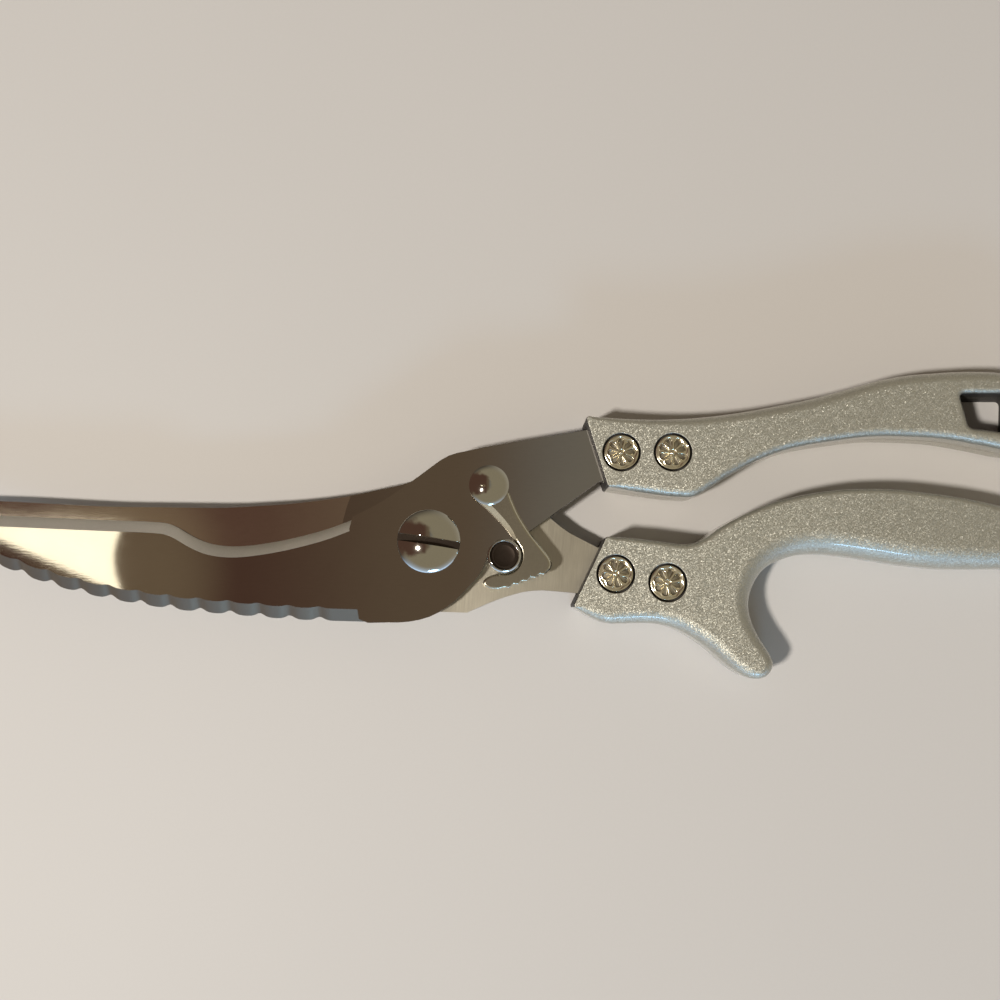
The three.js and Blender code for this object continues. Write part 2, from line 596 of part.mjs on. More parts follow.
// Half of a handle: upright wall from the parting face, then a rounding into the flat outer face.
function handleHalf(rim, parting, face) {
  const count = rim.length;
  const side = Math.sign(face - parting);
  const inward = rim.map((p, i) => {
    const before = rim[(i + count - 1) % count];
    const after = rim[(i + 1) % count];
    return new THREE.Vector2(before.y - after.y, after.x - before.x).normalize();
  });
  const rows = [rim.map((p) => [p.x, p.y, parting])];
  for (const turn of ROUNDING_DEG.map(rad)) {
    rows.push(rim.map((p, i) => {
      const step = p.z * (1 - Math.cos(turn));
      const level = face - side * p.z * (1 - Math.sin(turn));
      return [p.x + inward[i].x * step, p.y + inward[i].y * step, level];
    }));
  }
  const faces = [];
  for (let row = 0; row + 1 < rows.length; row += 1) {
    for (let i = 0; i < count; i += 1) {
      const a = row * count + i;
      const b = row * count + ((i + 1) % count);
      faces.push(a, b, b + count, a, b + count, a + count);
    }
  }
  const top = rows.length - 1;
  for (const [a, b, c] of THREE.ShapeUtils.triangulateShape(vectors(rows[0]), [])) faces.push(a, c, b);
  for (const corners of THREE.ShapeUtils.triangulateShape(vectors(rows[top]), [])) {
    faces.push(...corners.map((corner) => top * count + corner));
  }
  return solid(meshed(rows.flat(2), faces));
}

// Slot near the end of the upper handle, for hanging the shears on a hook.
const hangCorners = vectors(HANG_CORNERS);
const hangOutline = hangCorners.flatMap((corner, i) => {
  const before = hangCorners[(i + 3) % 4].clone().sub(corner).normalize();
  const after = hangCorners[(i + 1) % 4].clone().sub(corner).normalize();
  const from = corner.clone().addScaledVector(before, HANG_CORNER_R);
  const to = corner.clone().addScaledVector(after, HANG_CORNER_R);
  return new THREE.QuadraticBezierCurve(from, corner, to).getPoints(CORNER_STEPS);
});
const hangSlot = prism(hangOutline, -MARGIN, HANDLE_THICK + MARGIN);

// Room for a tang, open at the front end of the handle.
function tangRoom([topFront, topBack], [lowFront, lowBack], from, to) {
  const outline = [
    [topBack[0] + TANG_ROOM, topBack[1] + TANG_ROOM],
    [topFront[0], topFront[1] + TANG_ROOM],
    [topFront[0] - TANG_LEAD, topFront[1] + TANG_ROOM],
    [lowFront[0] - TANG_LEAD, lowFront[1] - TANG_ROOM],
    [lowFront[0], lowFront[1] - TANG_ROOM],
    [lowBack[0] + TANG_ROOM, lowBack[1] - TANG_ROOM],
  ];
  return prism(vectors(outline), from, to);
}
const frontRoomTop = FRONT_OUTER + TANG_ROOM;
const rearRoomLow = REAR_OUTER - TANG_ROOM;
const frontTangTop = [...FRONT_TANG_TOP].reverse();
const rearTangLow = [...REAR_TANG_LOW].reverse();
const frontTangRoom = tangRoom(frontTangTop, FRONT_TANG_LOW, PARTING - MARGIN, frontRoomTop);
const rearTangRoom = tangRoom(REAR_TANG_TOP, rearTangLow, rearRoomLow, PARTING + MARGIN);

const rivetTop = HANDLE_THICK - RIVET_SINK;
const rivetSeat = rivetTop - RIVET_HEAD_H;
const capSeat = RIVET_SINK + RIVET_HEAD_H;
const boreTopR = RIVET_HEAD_R + RIVET_BORE_GAP;
const barrelHoleR = RIVET_BARREL_R + RIVET_HOLE_GAP;
const barrelTop = REAR_OUTER - RIVET_BARREL_GAP;

function frontShell(rim, rivets) {
  const seat = rivetSeat - SEAT_GAP;
  const bore = [
    [0, 0], [rivetHoleR, 0], [rivetHoleR, seat],
    [boreTopR, seat], [boreTopR, HANDLE_THICK + MARGIN], [0, HANDLE_THICK + MARGIN],
  ];
  return rivets.reduce(
    (shell, place) => shell.subtract(turned(bore, place, SMALL_ROUND)),
    handleHalf(rim, PARTING + PARTING_GAP / 2, HANDLE_THICK),
  );
}

function rearShell(rim, rivets) {
  const seat = capSeat + SEAT_GAP;
  const bore = [
    [0, -MARGIN], [boreTopR, -MARGIN], [boreTopR, seat],
    [barrelHoleR, seat], [barrelHoleR, HANDLE_THICK], [0, HANDLE_THICK],
  ];
  return rivets.reduce(
    (shell, place) => shell.subtract(turned(bore, place, SMALL_ROUND)),
    handleHalf(rim, PARTING - PARTING_GAP / 2, 0),
  );
}

const upperRim = handleRim(UPPER_OUTLINE);
const lowerRim = handleRim(LOWER_OUTLINE);
const upperFrontShell = frontShell(upperRim, UPPER_RIVETS).subtract(frontTangRoom).subtract(hangSlot);
const upperRearShell = rearShell(upperRim, UPPER_RIVETS).subtract(hangSlot);
const lowerFrontShell = frontShell(lowerRim, LOWER_RIVETS);
const lowerRearShell = rearShell(lowerRim, LOWER_RIVETS).subtract(rearTangRoom);

// Handle rivet: shank under a rosette head, a ring of drop-shaped hollows around a dimple.
function rosetteRivet(place) {
  const spokes = PETAL_SPOKES * PETALS;
  const hollow = (angle) => 0.5 - 0.5 * Math.cos(PETALS * angle);
  const rings = [
    { radius: PETAL_FROM_R, level: () => rivetTop },
    { radius: PETAL_MID_R, level: (angle) => rivetTop - PETAL_DEPTH * hollow(angle) },
    { radius: PETAL_TO_R, level: () => rivetTop },
    { radius: RIVET_HEAD_R, level: () => rivetTop - RIVET_EDGE_DROP },
    { radius: RIVET_HEAD_R, level: () => rivetSeat },
  ];
  const corners = [0, 0, rivetTop - RIVET_EDGE_DROP];
  for (const { radius, level } of rings) {
    for (let k = 0; k < spokes; k += 1) {
      const angle = (k / spokes) * TAU;
      corners.push(radius * Math.cos(angle), radius * Math.sin(angle), level(angle));
    }
  }
  const foot = corners.length / 3;
  corners.push(0, 0, rivetSeat);
  const faces = [];
  for (let k = 0; k < spokes; k += 1) {
    const next = (k + 1) % spokes;
    faces.push(0, 1 + k, 1 + next);
    for (let ring = 0; ring + 1 < rings.length; ring += 1) {
      const a = 1 + ring * spokes + k;
      const b = 1 + ring * spokes + next;
      faces.push(a, a + spokes, b + spokes, a, b + spokes, b);
    }
    faces.push(foot, foot - spokes + next, foot - spokes + k);
  }
  const head = meshed(corners, faces);
  head.translate(place[0], place[1], 0);
  const shank = bar(RIVET_SHANK_R, capSeat + SEAT_GAP, rivetSeat + SEAT_GAP, place, SMALL_ROUND);
  return solid(head).add(shank);
}

// Rear half of a handle rivet: flat head with a short tube that the shank is pressed into.
function rivetCap(place) {
  const bore = RIVET_SHANK_R + RUNNING_FIT;
  return turned([
    [0, RIVET_SINK],
    [RIVET_HEAD_R - RIVET_EDGE_IN, RIVET_SINK],
    [RIVET_HEAD_R, RIVET_SINK + RIVET_EDGE_DROP],
    [RIVET_HEAD_R, capSeat],
    [RIVET_BARREL_R, capSeat],
    [RIVET_BARREL_R, barrelTop],
    [bore, barrelTop],
    [bore, capSeat - SEAT_GAP],
    [0, capSeat - SEAT_GAP],
  ], place, SMALL_ROUND);
}

const finishes = {
  blade: { color: 0xa9a49b, roughness: 0.32, metalness: 1 },
  handle: { color: 0x98968d, roughness: 0.42, metalness: 0.6 },
  bright: { color: 0xcfccc4, roughness: 0.16, metalness: 1 },
  latch: { color: 0xb4b0a6, roughness: 0.26, metalness: 1 },
  spring: { color: 0x6f7074, roughness: 0.4, metalness: 1 },
};

const shears = new THREE.Group();
shears.name = "poultry_shears";

function addPiece(name, body, finish) {
  const found = body.getMesh();
  const stride = found.numProp;
  const corners = [];
  for (let i = 0; i < found.vertProperties.length; i += stride) {
    corners.push(...found.vertProperties.slice(i, i + 3));
  }
  const geometry = meshed(corners, Array.from(found.triVerts));
  geometry.computeVertexNormals();
  const mesh = new THREE.Mesh(geometry, new THREE.MeshStandardMaterial(finishes[finish]));
  mesh.name = name;
  shears.add(mesh);
}

addPiece("front_blade", frontBlade, "blade");
addPiece("rear_blade", rearBlade, "blade");
addPiece("pivot_screw", pivotScrew, "bright");
addPiece("pivot_nut", pivotNut, "bright");
addPiece("pivot_washer", pivotWasher, "bright");
addPiece("return_spring", returnSpring, "spring");
addPiece("latch", latch, "latch");
addPiece("latch_rivet", latchRivet, "bright");
addPiece("catch_stud", catchStud, "bright");
addPiece("upper_handle_front_shell", upperFrontShell, "handle");
addPiece("upper_handle_rear_shell", upperRearShell, "handle");
addPiece("lower_handle_front_shell", lowerFrontShell, "handle");
addPiece("lower_handle_rear_shell", lowerRearShell, "handle");
for (const [handle, spots] of Object.entries({ upper: UPPER_RIVETS, lower: LOWER_RIVETS })) {
  ["fore", "aft"].forEach((end, i) => {
    addPiece(`${handle}_rivet_${end}`, rosetteRivet(spots[i]), "bright");
    addPiece(`${handle}_rivet_${end}_cap`, rivetCap(spots[i]), "bright");
  });
}

export default shears;
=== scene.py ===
"""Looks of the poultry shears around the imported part, seen from the photograph's place."""

import logging
import math
from dataclasses import dataclass
from enum import Enum, IntEnum
from typing import Iterable, Sequence

import bmesh
import bpy
import numpy as np
from mathutils import Matrix, Vector


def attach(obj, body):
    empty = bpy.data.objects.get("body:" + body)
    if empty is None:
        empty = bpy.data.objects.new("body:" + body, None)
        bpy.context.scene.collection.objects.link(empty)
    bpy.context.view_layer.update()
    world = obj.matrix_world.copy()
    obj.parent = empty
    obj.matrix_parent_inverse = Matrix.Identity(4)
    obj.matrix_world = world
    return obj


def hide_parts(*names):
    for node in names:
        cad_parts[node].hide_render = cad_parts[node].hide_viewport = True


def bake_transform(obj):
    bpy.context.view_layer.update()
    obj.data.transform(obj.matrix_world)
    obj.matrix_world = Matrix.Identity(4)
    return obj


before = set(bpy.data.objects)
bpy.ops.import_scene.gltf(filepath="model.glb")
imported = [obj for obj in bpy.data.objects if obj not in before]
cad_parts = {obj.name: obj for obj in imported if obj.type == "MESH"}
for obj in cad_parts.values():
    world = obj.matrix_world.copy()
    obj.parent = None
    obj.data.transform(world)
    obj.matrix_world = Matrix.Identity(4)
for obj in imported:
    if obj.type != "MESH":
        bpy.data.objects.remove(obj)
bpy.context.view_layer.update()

MM = 0.001
LEAST = 1e-6
log = logging.getLogger("shears")

Pair = tuple[float, float]
Triple = tuple[float, float, float]


class Value:
    """A socket of a node tree that takes part in plain arithmetic."""

    def __init__(self, sheet: "NodeSheet", socket: bpy.types.NodeSocket) -> None:
        """Keeps the socket and the sheet it belongs to."""
        self.sheet = sheet
        self.socket = socket

    def __add__(self, other: "Value | float") -> "Value":
        """Sum of two values."""
        return self.sheet.math("ADD", self, other)

    def __radd__(self, other: float) -> "Value":
        """Sum of a number and a value."""
        return self.sheet.math("ADD", other, self)

    def __sub__(self, other: "Value | float") -> "Value":
        """Difference of two values."""
        return self.sheet.math("SUBTRACT", self, other)

    def __rsub__(self, other: float) -> "Value":
        """Difference of a number and a value."""
        return self.sheet.math("SUBTRACT", other, self)

    def __mul__(self, other: "Value | float") -> "Value":
        """Product of two values."""
        return self.sheet.math("MULTIPLY", self, other)

    def __rmul__(self, other: float) -> "Value":
        """Product of a number and a value."""
        return self.sheet.math("MULTIPLY", other, self)

    def __truediv__(self, other: "Value | float") -> "Value":
        """Quotient of two values."""
        return self.sheet.math("DIVIDE", self, other)

    def __pow__(self, other: "Value | float") -> "Value":
        """Power of a value."""
        return self.sheet.math("POWER", self, other)

    def ramp(self, low: float, high: float) -> "Value":
        """Smooth rise from 0 to 1 between two levels of this value.

        Args:
            low: level at which the rise starts.
            high: level at which it ends.

        Returns:
            The rising value.
        """
        settings = {"interpolation_type": "SMOOTHSTEP", "clamp": True}
        sockets = {"Value": self, "From Min": low, "From Max": high}
        return self.sheet.value("ShaderNodeMapRange", settings, sockets)


class NodeSheet:
    """A node tree in the making."""

    def __init__(self, tree: bpy.types.NodeTree) -> None:
        """Takes over a tree and empties it."""
        self.tree = tree
        tree.nodes.clear()

    def node(self, kind: str, settings: dict | None = None, sockets: dict | None = None) -> bpy.types.Node:
        """Adds a node.

        Args:
            kind: the node's type.
            settings: the node's own settings, set first.
            sockets: values or links, by the name or number of the socket.

        Returns:
            The new node.
        """
        node = self.tree.nodes.new(kind)
        for name, value in (settings or {}).items():
            setattr(node, name, value)
        for key, value in (sockets or {}).items():
            if isinstance(value, Value):
                self.tree.links.new(value.socket, node.inputs[key])
            else:
                node.inputs[key].default_value = value
        return node

    def value(
        self, kind: str, settings: dict | None = None, sockets: dict | None = None, output: int | str = 0
    ) -> Value:
        """Adds a node and takes one of its outputs.

        Args:
            kind: the node's type.
            settings: the node's own settings.
            sockets: values or links, by the name or number of the socket.
            output: name or number of the output.

        Returns:
            The output as a value.
        """
        return Value(self, self.node(kind, settings, sockets).outputs[output])

    def math(self, operation: str, *terms: "Value | float") -> Value:
        """Adds a Math node on one to three terms and gives its result."""
        return self.value("ShaderNodeMath", {"operation": operation}, dict(enumerate(terms)))

    def mix(self, share: Value, low: Sequence[float] | Value, high: Sequence[float] | Value) -> Value:
        """Mixes two colours.

        Args:
            share: how much of the second colour.
            low: first colour.
            high: second colour.

        Returns:
            The mixed colour.
        """
        ends = [end if isinstance(end, Value) else (*end, 1.0) for end in (low, high)]
        return self.value("ShaderNodeMix", {"data_type": "RGBA"}, {0: share, 6: ends[0], 7: ends[1]}, 2)

    def vector(
        self, operation: str, *terms: "Value | Sequence[float]", scale: float | None = None
    ) -> Value:
        """Adds a Vector Math node.

        Args:
            operation: the node's operation.
            terms: its vectors.
            scale: its number, where the operation has one.

        Returns:
            The resulting vector.
        """
        sockets = dict(enumerate(terms))
        if scale is not None:
            sockets["Scale"] = scale
        return self.value("ShaderNodeVectorMath", {"operation": operation}, sockets)

    def place(self, per_metre: Sequence[float] = (1.0, 1.0, 1.0), turn: float = 0.0) -> Value:
        """Place on the piece, stretched to so many features per metre.

        Args:
            per_metre: features per metre along each axis.
            turn: turn of the pattern about Z, in radians.

        Returns:
            The stretched place.
        """
        coords = self.value("ShaderNodeTexCoord", output="Object")
        turned = self.value("ShaderNodeMapping", None, {"Vector": coords, "Rotation": (0.0, 0.0, turn)})
        return self.value("ShaderNodeMapping", None, {"Vector": turned, "Scale": tuple(per_metre)})

    def noise(self, place: Value, detail: float = 3.0, rough: float = 0.55) -> Value:
        """Cloudy pattern from 0 to 1 over a stretched place.

        Args:
            place: the stretched place.
            detail: number of finer layers.
            rough: weight of the finer layers.

        Returns:
            The pattern.
        """
        sockets = {"Vector": place, "Scale": 1.0, "Detail": detail, "Roughness": rough}
        return self.value("ShaderNodeTexNoise", None, sockets)

    def bump(self, height: Value) -> Value:
        """Normal of a surface that carries a height, in metres."""
        return self.value("ShaderNodeBump", None, {"Height": height, "Strength": 1.0, "Distance": 1.0})


def new_sheet(name: str) -> tuple[bpy.types.Material, NodeSheet]:
    """New material with an empty node tree.

    Args:
        name: the material's name.

    Returns:
        The material and its tree.
    """
    material = bpy.data.materials.new(name)
    material.use_nodes = True
    return material, NodeSheet(material.node_tree)


def close_sheet(sheet: NodeSheet, fixed: dict, varying: dict) -> None:
    """Ends a material's tree in a surface shader.

    Args:
        sheet: the tree.
        fixed: values that are the same all over.
        varying: values that change over the surface.
    """
    shader = sheet.node("ShaderNodeBsdfPrincipled", None, {**fixed, **varying})
    output = sheet.node("ShaderNodeOutputMaterial")
    sheet.tree.links.new(shader.outputs["BSDF"], output.inputs["Surface"])


class Grain(Enum):
    """Direction of the grinding lines, as lines per metre along X, Y and Z."""

    ALONG = (420.0, 2600.0, 2600.0)
    ACROSS = (5200.0, 130.0, 5200.0)
    EVEN = (2600.0, 2600.0, 2600.0)


@dataclass(frozen=True)
class Steel:
    """Bare metal with grinding lines, handling marks and uneven gloss, with optional painted shade in its
    hollows.
    """

    name: str
    colour: Triple
    roughness: float
    grain: Grain
    depth: float = 1.5e-6
    swing: float = 0.05
    tint: float = 0.08
    turn: float = 0.0
    smudge: float = 0.02
    # painted shade: share, colour and gloss of the darkening laid by a point attribute
    painted_shade: float = 0.0
    painted_shade_colour: Triple = (0.05, 0.037, 0.026)
    painted_shade_gloss: float = 0.25
    metallic: float = 1.0
    line_layers: Pair = (4.0, 0.62)
    line_share: float = 0.6
    clouds_per_metre: float = 95.0
    cloud_layers: Pair = (4.0, 0.6)

    def shade(self, sheet: NodeSheet) -> tuple[Value, Value, Value]:
        """Patterns of the metal.

        Args:
            sheet: the tree they go into.

        Returns:
            Colour, roughness and height of the grinding lines.
        """
        lines = sheet.noise(sheet.place(self.grain.value, self.turn), *self.line_layers)
        clouds = sheet.noise(sheet.place((self.clouds_per_metre,) * 3), *self.cloud_layers)
        dark = [c * (1 - self.tint) for c in self.colour]
        light = [min(1.0, c * (1 + self.tint)) for c in self.colour]
        colour = sheet.mix(lines * self.line_share + clouds * (1 - self.line_share), dark, light)
        gloss = self.roughness + (lines - 0.5) * self.swing + (clouds - 0.5) * (2 * self.smudge)
        return colour, gloss, lines * self.depth

    def material(self) -> bpy.types.Material:
        """Makes the material.

        Returns:
            The material.
        """
        material, sheet = new_sheet(self.name)
        colour, gloss, height = self.shade(sheet)
        # Painted shade: darkens the faces by the point attribute given at build, where shade falls in
        # hollows.
        if self.painted_shade:
            deep = sheet.value("ShaderNodeAttribute", {"attribute_name": "recess"}, output="Fac")
            colour = sheet.mix(deep * self.painted_shade, colour, self.painted_shade_colour)
            gloss = gloss + deep * self.painted_shade_gloss
        varying = {"Base Color": colour, "Roughness": gloss, "Normal": sheet.bump(height)}
        close_sheet(sheet, {"Metallic": self.metallic}, varying)
        return material


@dataclass(frozen=True)
class TwoWaySteel:
    """Steel ground one way on the blade and another way on the tang."""

    name: str
    blade: Steel
    tang: Steel
    turns_at: Pair = (-10.0 * MM, 8.0 * MM)

    def material(self) -> bpy.types.Material:
        """Makes the material.

        Returns:
            The material.
        """
        material, sheet = new_sheet(self.name)
        split = sheet.node("ShaderNodeSeparateXYZ", None, {"Vector": sheet.place()})
        share = Value(sheet, split.outputs[0]).ramp(*self.turns_at)
        colours, glosses, heights = zip(self.blade.shade(sheet), self.tang.shade(sheet))
        gloss = glosses[0] * (1 - share) + glosses[1] * share
        height = heights[0] * (1 - share) + heights[1] * share
        colour = sheet.mix(share, *colours)
        varying = {"Base Color": colour, "Roughness": gloss, "Normal": sheet.bump(height)}
        close_sheet(sheet, {"Metallic": self.blade.metallic}, varying)
        return material


@dataclass(frozen=True)
class FlakePaint:
    """Silver paint full of metal flakes, under clear lacquer."""

    name: str
    base: Triple
    bright: Triple
    flake: float = 0.17 * MM
    dust: float = 0.085 * MM
    tilt: float = 0.2
    dust_tilt: float = 0.16
    roughness: float = 0.46
    spread: float = 0.14
    metallic: float = 0.74
    coat: float = 0.8
    coat_swing: float = 0.12
    coat_roughness: float = 0.08
    sparkle_power: float = 2.5
    sparkle_share: float = 0.5
    speck_share: float = 0.3
    cloud_share: float = 0.2
    clouds_per_metre: float = 60.0

    def material(self) -> bpy.types.Material:
        """Makes the material.

        Returns:
            The material.
        """
        material, sheet = new_sheet(self.name)
        normal = sheet.value("ShaderNodeNewGeometry", output="Normal")
        glints = []
        for size, tilt in ((self.flake, self.tilt), (self.dust, self.dust_tilt)):
            place = sheet.place((1 / size,) * 3)
            cells = sheet.value("ShaderNodeTexVoronoi", None, {"Vector": place, "Scale": 1.0}, "Color")
            glints.append(cells)
            lean = sheet.vector("SUBTRACT", cells, (0.5, 0.5, 0.5))
            normal = sheet.vector("ADD", normal, sheet.vector("SCALE", lean, scale=2 * tilt))
        normal = sheet.vector("NORMALIZE", normal)
        large = sheet.node("ShaderNodeSeparateColor", None, {"Color": glints[0]})
        small = sheet.node("ShaderNodeSeparateColor", None, {"Color": glints[1]})
        sparkle = Value(sheet, large.outputs[1]) ** self.sparkle_power
        speck = Value(sheet, small.outputs[1])
        clouds = sheet.noise(sheet.place((self.clouds_per_metre,) * 3))
        share = sparkle * self.sparkle_share + speck * self.speck_share + clouds * self.cloud_share
        gloss = self.roughness + (Value(sheet, large.outputs[2]) - 0.5) * self.spread
        varying = {
            "Base Color": sheet.mix(share, self.base, self.bright),
            "Roughness": gloss,
            "Normal": normal,
            "Coat Weight": self.coat + (clouds - 0.5) * self.coat_swing,
        }
        close_sheet(sheet, {"Metallic": self.metallic, "Coat Roughness": self.coat_roughness}, varying)
        return material


@dataclass(frozen=True)
class TableTop:
    """Pale matt table top."""

    name: str
    colour: Triple
    swing: float = 0.03
    layers: float = 2.0
    clouds_per_metre: float = 9.0
    cloud_share: float = 0.6
    grit_per_metre: float = 1500.0
    grit_gloss: float = 0.1
    roughness: float = 0.5
    gleam: float = 0.3

    def material(self) -> bpy.types.Material:
        """Makes the material.

        Returns:
            The material.
        """
        material, sheet = new_sheet(self.name)
        clouds = sheet.noise(sheet.place((self.clouds_per_metre,) * 3), self.layers)
        grit = sheet.noise(sheet.place((self.grit_per_metre,) * 3), self.layers)
        shade = clouds * self.cloud_share + grit * (1 - self.cloud_share)
        dark = [c * (1 - self.swing) for c in self.colour]
        light = [c * (1 + self.swing) for c in self.colour]
        gloss = self.roughness + grit * self.grit_gloss
        varying = {"Base Color": sheet.mix(shade, dark, light), "Roughness": gloss}
        close_sheet(sheet, {"Specular IOR Level": self.gleam}, varying)
        return material


BLADE_STEEL = Steel(
    "blade_steel", (0.58, 0.54, 0.48), 0.035, Grain.ALONG, depth=0.9e-6, swing=0.03, smudge=0.01
)
# Rough blanked edges, darkened further as painted shade so the blade walls read as dark lines.
EDGE_STEEL_AND_SHADE = Steel("blanked_edge_steel", (0.16, 0.14, 0.12), 0.42, Grain.ALONG, depth=3e-6, tint=0.2)
GROUND_STEEL = Steel("ground_edge_steel", (0.68, 0.65, 0.59), 0.42, Grain.ACROSS, depth=6e-6, tint=0.24)
SCALER_STEEL = Steel("scaler_steel", (0.17, 0.14, 0.108), 0.46, Grain.ACROSS, depth=2e-6)
TANG_STEEL = Steel(
    "tang_steel", (0.62, 0.58, 0.48), 0.33, Grain.ACROSS, depth=8e-6, tint=0.34, turn=0.09
)
REAR_FACE = Steel("rear_face_steel", (0.50, 0.46, 0.41), 0.05, Grain.ALONG, depth=0.9e-6, swing=0.03)
RELIEF_STEEL = Steel("relief_steel", (0.80, 0.74, 0.65), 0.06, Grain.ALONG, depth=0.9e-6, swing=0.03)
REAR_STEEL = TwoWaySteel("rear_blade_steel", REAR_FACE, TANG_STEEL)
LATCH_STEEL = Steel("latch_steel", (0.54, 0.50, 0.40), 0.22, Grain.EVEN, depth=0.4e-6)
FILED_STEEL = Steel("filed_edge_steel", (0.52, 0.48, 0.37), 0.38, Grain.EVEN, depth=1.5e-6, tint=0.15)
# Painted highlight: far brighter steel that draws a bright line along the latch's back rim.
ROLLED_EDGE_HIGHLIGHT = Steel("rolled_edge_steel", (0.95, 0.90, 0.76), 0.24, Grain.EVEN, depth=0.4e-6)
POLISHED = Steel("polished_steel", (0.70, 0.68, 0.60), 0.06, Grain.EVEN, depth=0.08e-6, swing=0.03)
# Painted shade: near black steel for the screw slot and the stud's hollow, where shade falls.
SHADED_HOLLOW = Steel("stained_steel", (0.065, 0.05, 0.04), 0.3, Grain.EVEN, depth=0.5e-6, tint=0.2)
# Painted shade darkens the rosette petal hollows.
NICKEL = Steel("nickel", (0.92, 0.85, 0.66), 0.2, Grain.EVEN, depth=0.4e-6, painted_shade=0.92)
ZINC = Steel("zinc_plate", (0.58, 0.57, 0.52), 0.3, Grain.EVEN, depth=1e-6, tint=0.12)
SPRING_WIRE = Steel("spring_wire", (0.30, 0.30, 0.32), 0.35, Grain.EVEN, depth=1e-6, tint=0.15)
SILVER_PAINT = FlakePaint("silver_flake_paint", (0.35, 0.34, 0.29), (0.64, 0.62, 0.53))
# Painted shade: dark matt colour for the handle's slot walls, rivet seats and front ends, where shade
# falls.
WALL_SHADE_PAINT = Steel(
    "bare_casting", (0.035, 0.03, 0.027), 0.6, Grain.EVEN, depth=4e-6, tint=0.25, metallic=0.0
)
TABLE = TableTop("table_top", (0.625, 0.602, 0.585))
Finish = Steel | TwoWaySteel | FlakePaint | TableTop

CURVE_STEPS = 24
CORNER_STEPS = 10
BEND_REACH = 2
BEND_ROOM = 0.85
LEAST_BEND = 1e-3
EASE_PASSES = 3
MERGE_GAP = 1e-7
CAD_MERGE_GAP = 1e-6
CAD_FLAT_DEG = 0.4
NORMAL_WEIGHT = 80


def smooth_run(marks: Sequence[Sequence[float]], step: float) -> np.ndarray:
    """Evenly spaced points on a smooth curve through marks.

    Args:
        marks: points of any dimension, in order.
        step: distance between the points.

    Returns:
        The points, one a row, from the first mark to the last.
    """
    points = np.array(marks, float)
    padded = np.vstack([2 * points[0] - points[1], points, 2 * points[-1] - points[-2]])
    share = np.linspace(0, 1, CURVE_STEPS, endpoint=False)[:, None]
    runs = []
    for p0, p1, p2, p3 in zip(padded, padded[1:], padded[2:], padded[3:]):
        pairs = ((p0, p1), (p1, p2), (p2, p3))
        d0, d1, d2 = (max(math.sqrt(np.linalg.norm(b - a)), LEAST) for a, b in pairs)
        t1 = d1 * ((p1 - p0) / d0 - (p2 - p0) / (d0 + d1) + (p2 - p1) / d1)
        t2 = d1 * ((p2 - p1) / d1 - (p3 - p1) / (d1 + d2) + (p3 - p2) / d2)
        c2 = 3 * (p2 - p1) - 2 * t1 - t2
        c3 = 2 * (p1 - p2) + t1 + t2
        runs.append(p1 + share * t1 + share**2 * c2 + share**3 * c3)
    return even(np.vstack([*runs, points[-1:]]), step)


def even(line: np.ndarray, step: float) -> np.ndarray:
    """Respaces a line of points evenly.

    Args:
        line: points, one a row.
        step: distance between the new points.

    Returns:
        The new points, with both ends kept.
    """
    along = np.concatenate([[0], np.cumsum(np.linalg.norm(np.diff(line, axis=0), axis=1))])
    count = max(2, round(along[-1] / step))
    spots = np.linspace(0, along[-1], count + 1)
    return np.stack([np.interp(spots, along, column) for column in line.T], axis=1)


def arc(centre: Pair, radius: float, degrees: Pair, step: float) -> np.ndarray:
    """Points of an arc.

    Args:
        centre: its centre.
        radius: its radius.
        degrees: its first and last angle.
        step: about the distance between points.

    Returns:
        The points, one a row.
    """
    first, last = np.radians(degrees)
    angles = np.linspace(first, last, max(3, round(abs(last - first) * radius / step)) + 1)
    return np.stack([centre[0] + radius * np.cos(angles), centre[1] + radius * np.sin(angles)], axis=1)


def eased_corner(before: np.ndarray, corner: np.ndarray, after: np.ndarray, radius: float) -> np.ndarray:
    """Arc that eases a corner between two straight runs.

    Args:
        before: a point on the run that comes in.
        corner: the corner.
        after: a point on the run that goes out.
        radius: radius of the arc.

    Returns:
        Points of the arc, one a row.
    """
    back = (before - corner) / np.linalg.norm(before - corner)
    onward = (after - corner) / np.linalg.norm(after - corner)
    half = math.acos(float(np.clip(back @ onward, -1, 1))) / 2
    middle = (back + onward) / np.linalg.norm(back + onward)
    centre = corner + middle * radius / math.sin(half)
    swing = math.pi / 2 - half
    lean = math.atan2(-middle[1], -middle[0])
    angles = lean + np.linspace(-swing, swing, CORNER_STEPS + 1)
    return centre + radius * np.stack([np.cos(angles), np.sin(angles)], axis=1)


def inward(ring: np.ndarray) -> np.ndarray:
    """Unit vectors into an outline.

    Args:
        ring: closed counter-clockwise outline, one point a row.

    Returns:
        A vector at each point.
    """
    along = np.roll(ring, -1, axis=0) - np.roll(ring, 1, axis=0)
    across = np.stack([-along[:, 1], along[:, 0]], axis=1)
    return across / np.linalg.norm(across, axis=1, keepdims=True)


def rounding_room(ring: np.ndarray, wanted: np.ndarray) -> np.ndarray:
    """Rounding that fits the bends of an outline.

    Args:
        ring: closed counter-clockwise outline, one point a row.
        wanted: rounding wished for at each point.

    Returns:
        The rounding, smaller where the outline bends too tightly for the wish.
    """
    after = np.roll(ring, -1, axis=0) - ring
    before = ring - np.roll(ring, 1, axis=0)
    cross = before[:, 0] * after[:, 1] - before[:, 1] * after[:, 0]
    bend = np.arctan2(cross, (before * after).sum(axis=1))
    length = np.linalg.norm(after, axis=1)
    reach = range(-BEND_REACH, BEND_REACH + 1)
    near = [np.roll(bend, k) for k in reach]
    run = [np.roll(length, k) for k in reach]
    curve = sum(near) / np.maximum(sum(run), LEAST)
    room = np.minimum(wanted, BEND_ROOM / np.maximum(curve, LEAST_BEND))
    for _ in range(EASE_PASSES):
        room = np.minimum(room, (np.roll(room, 1) + room + np.roll(room, -1)) / 3)
    return room


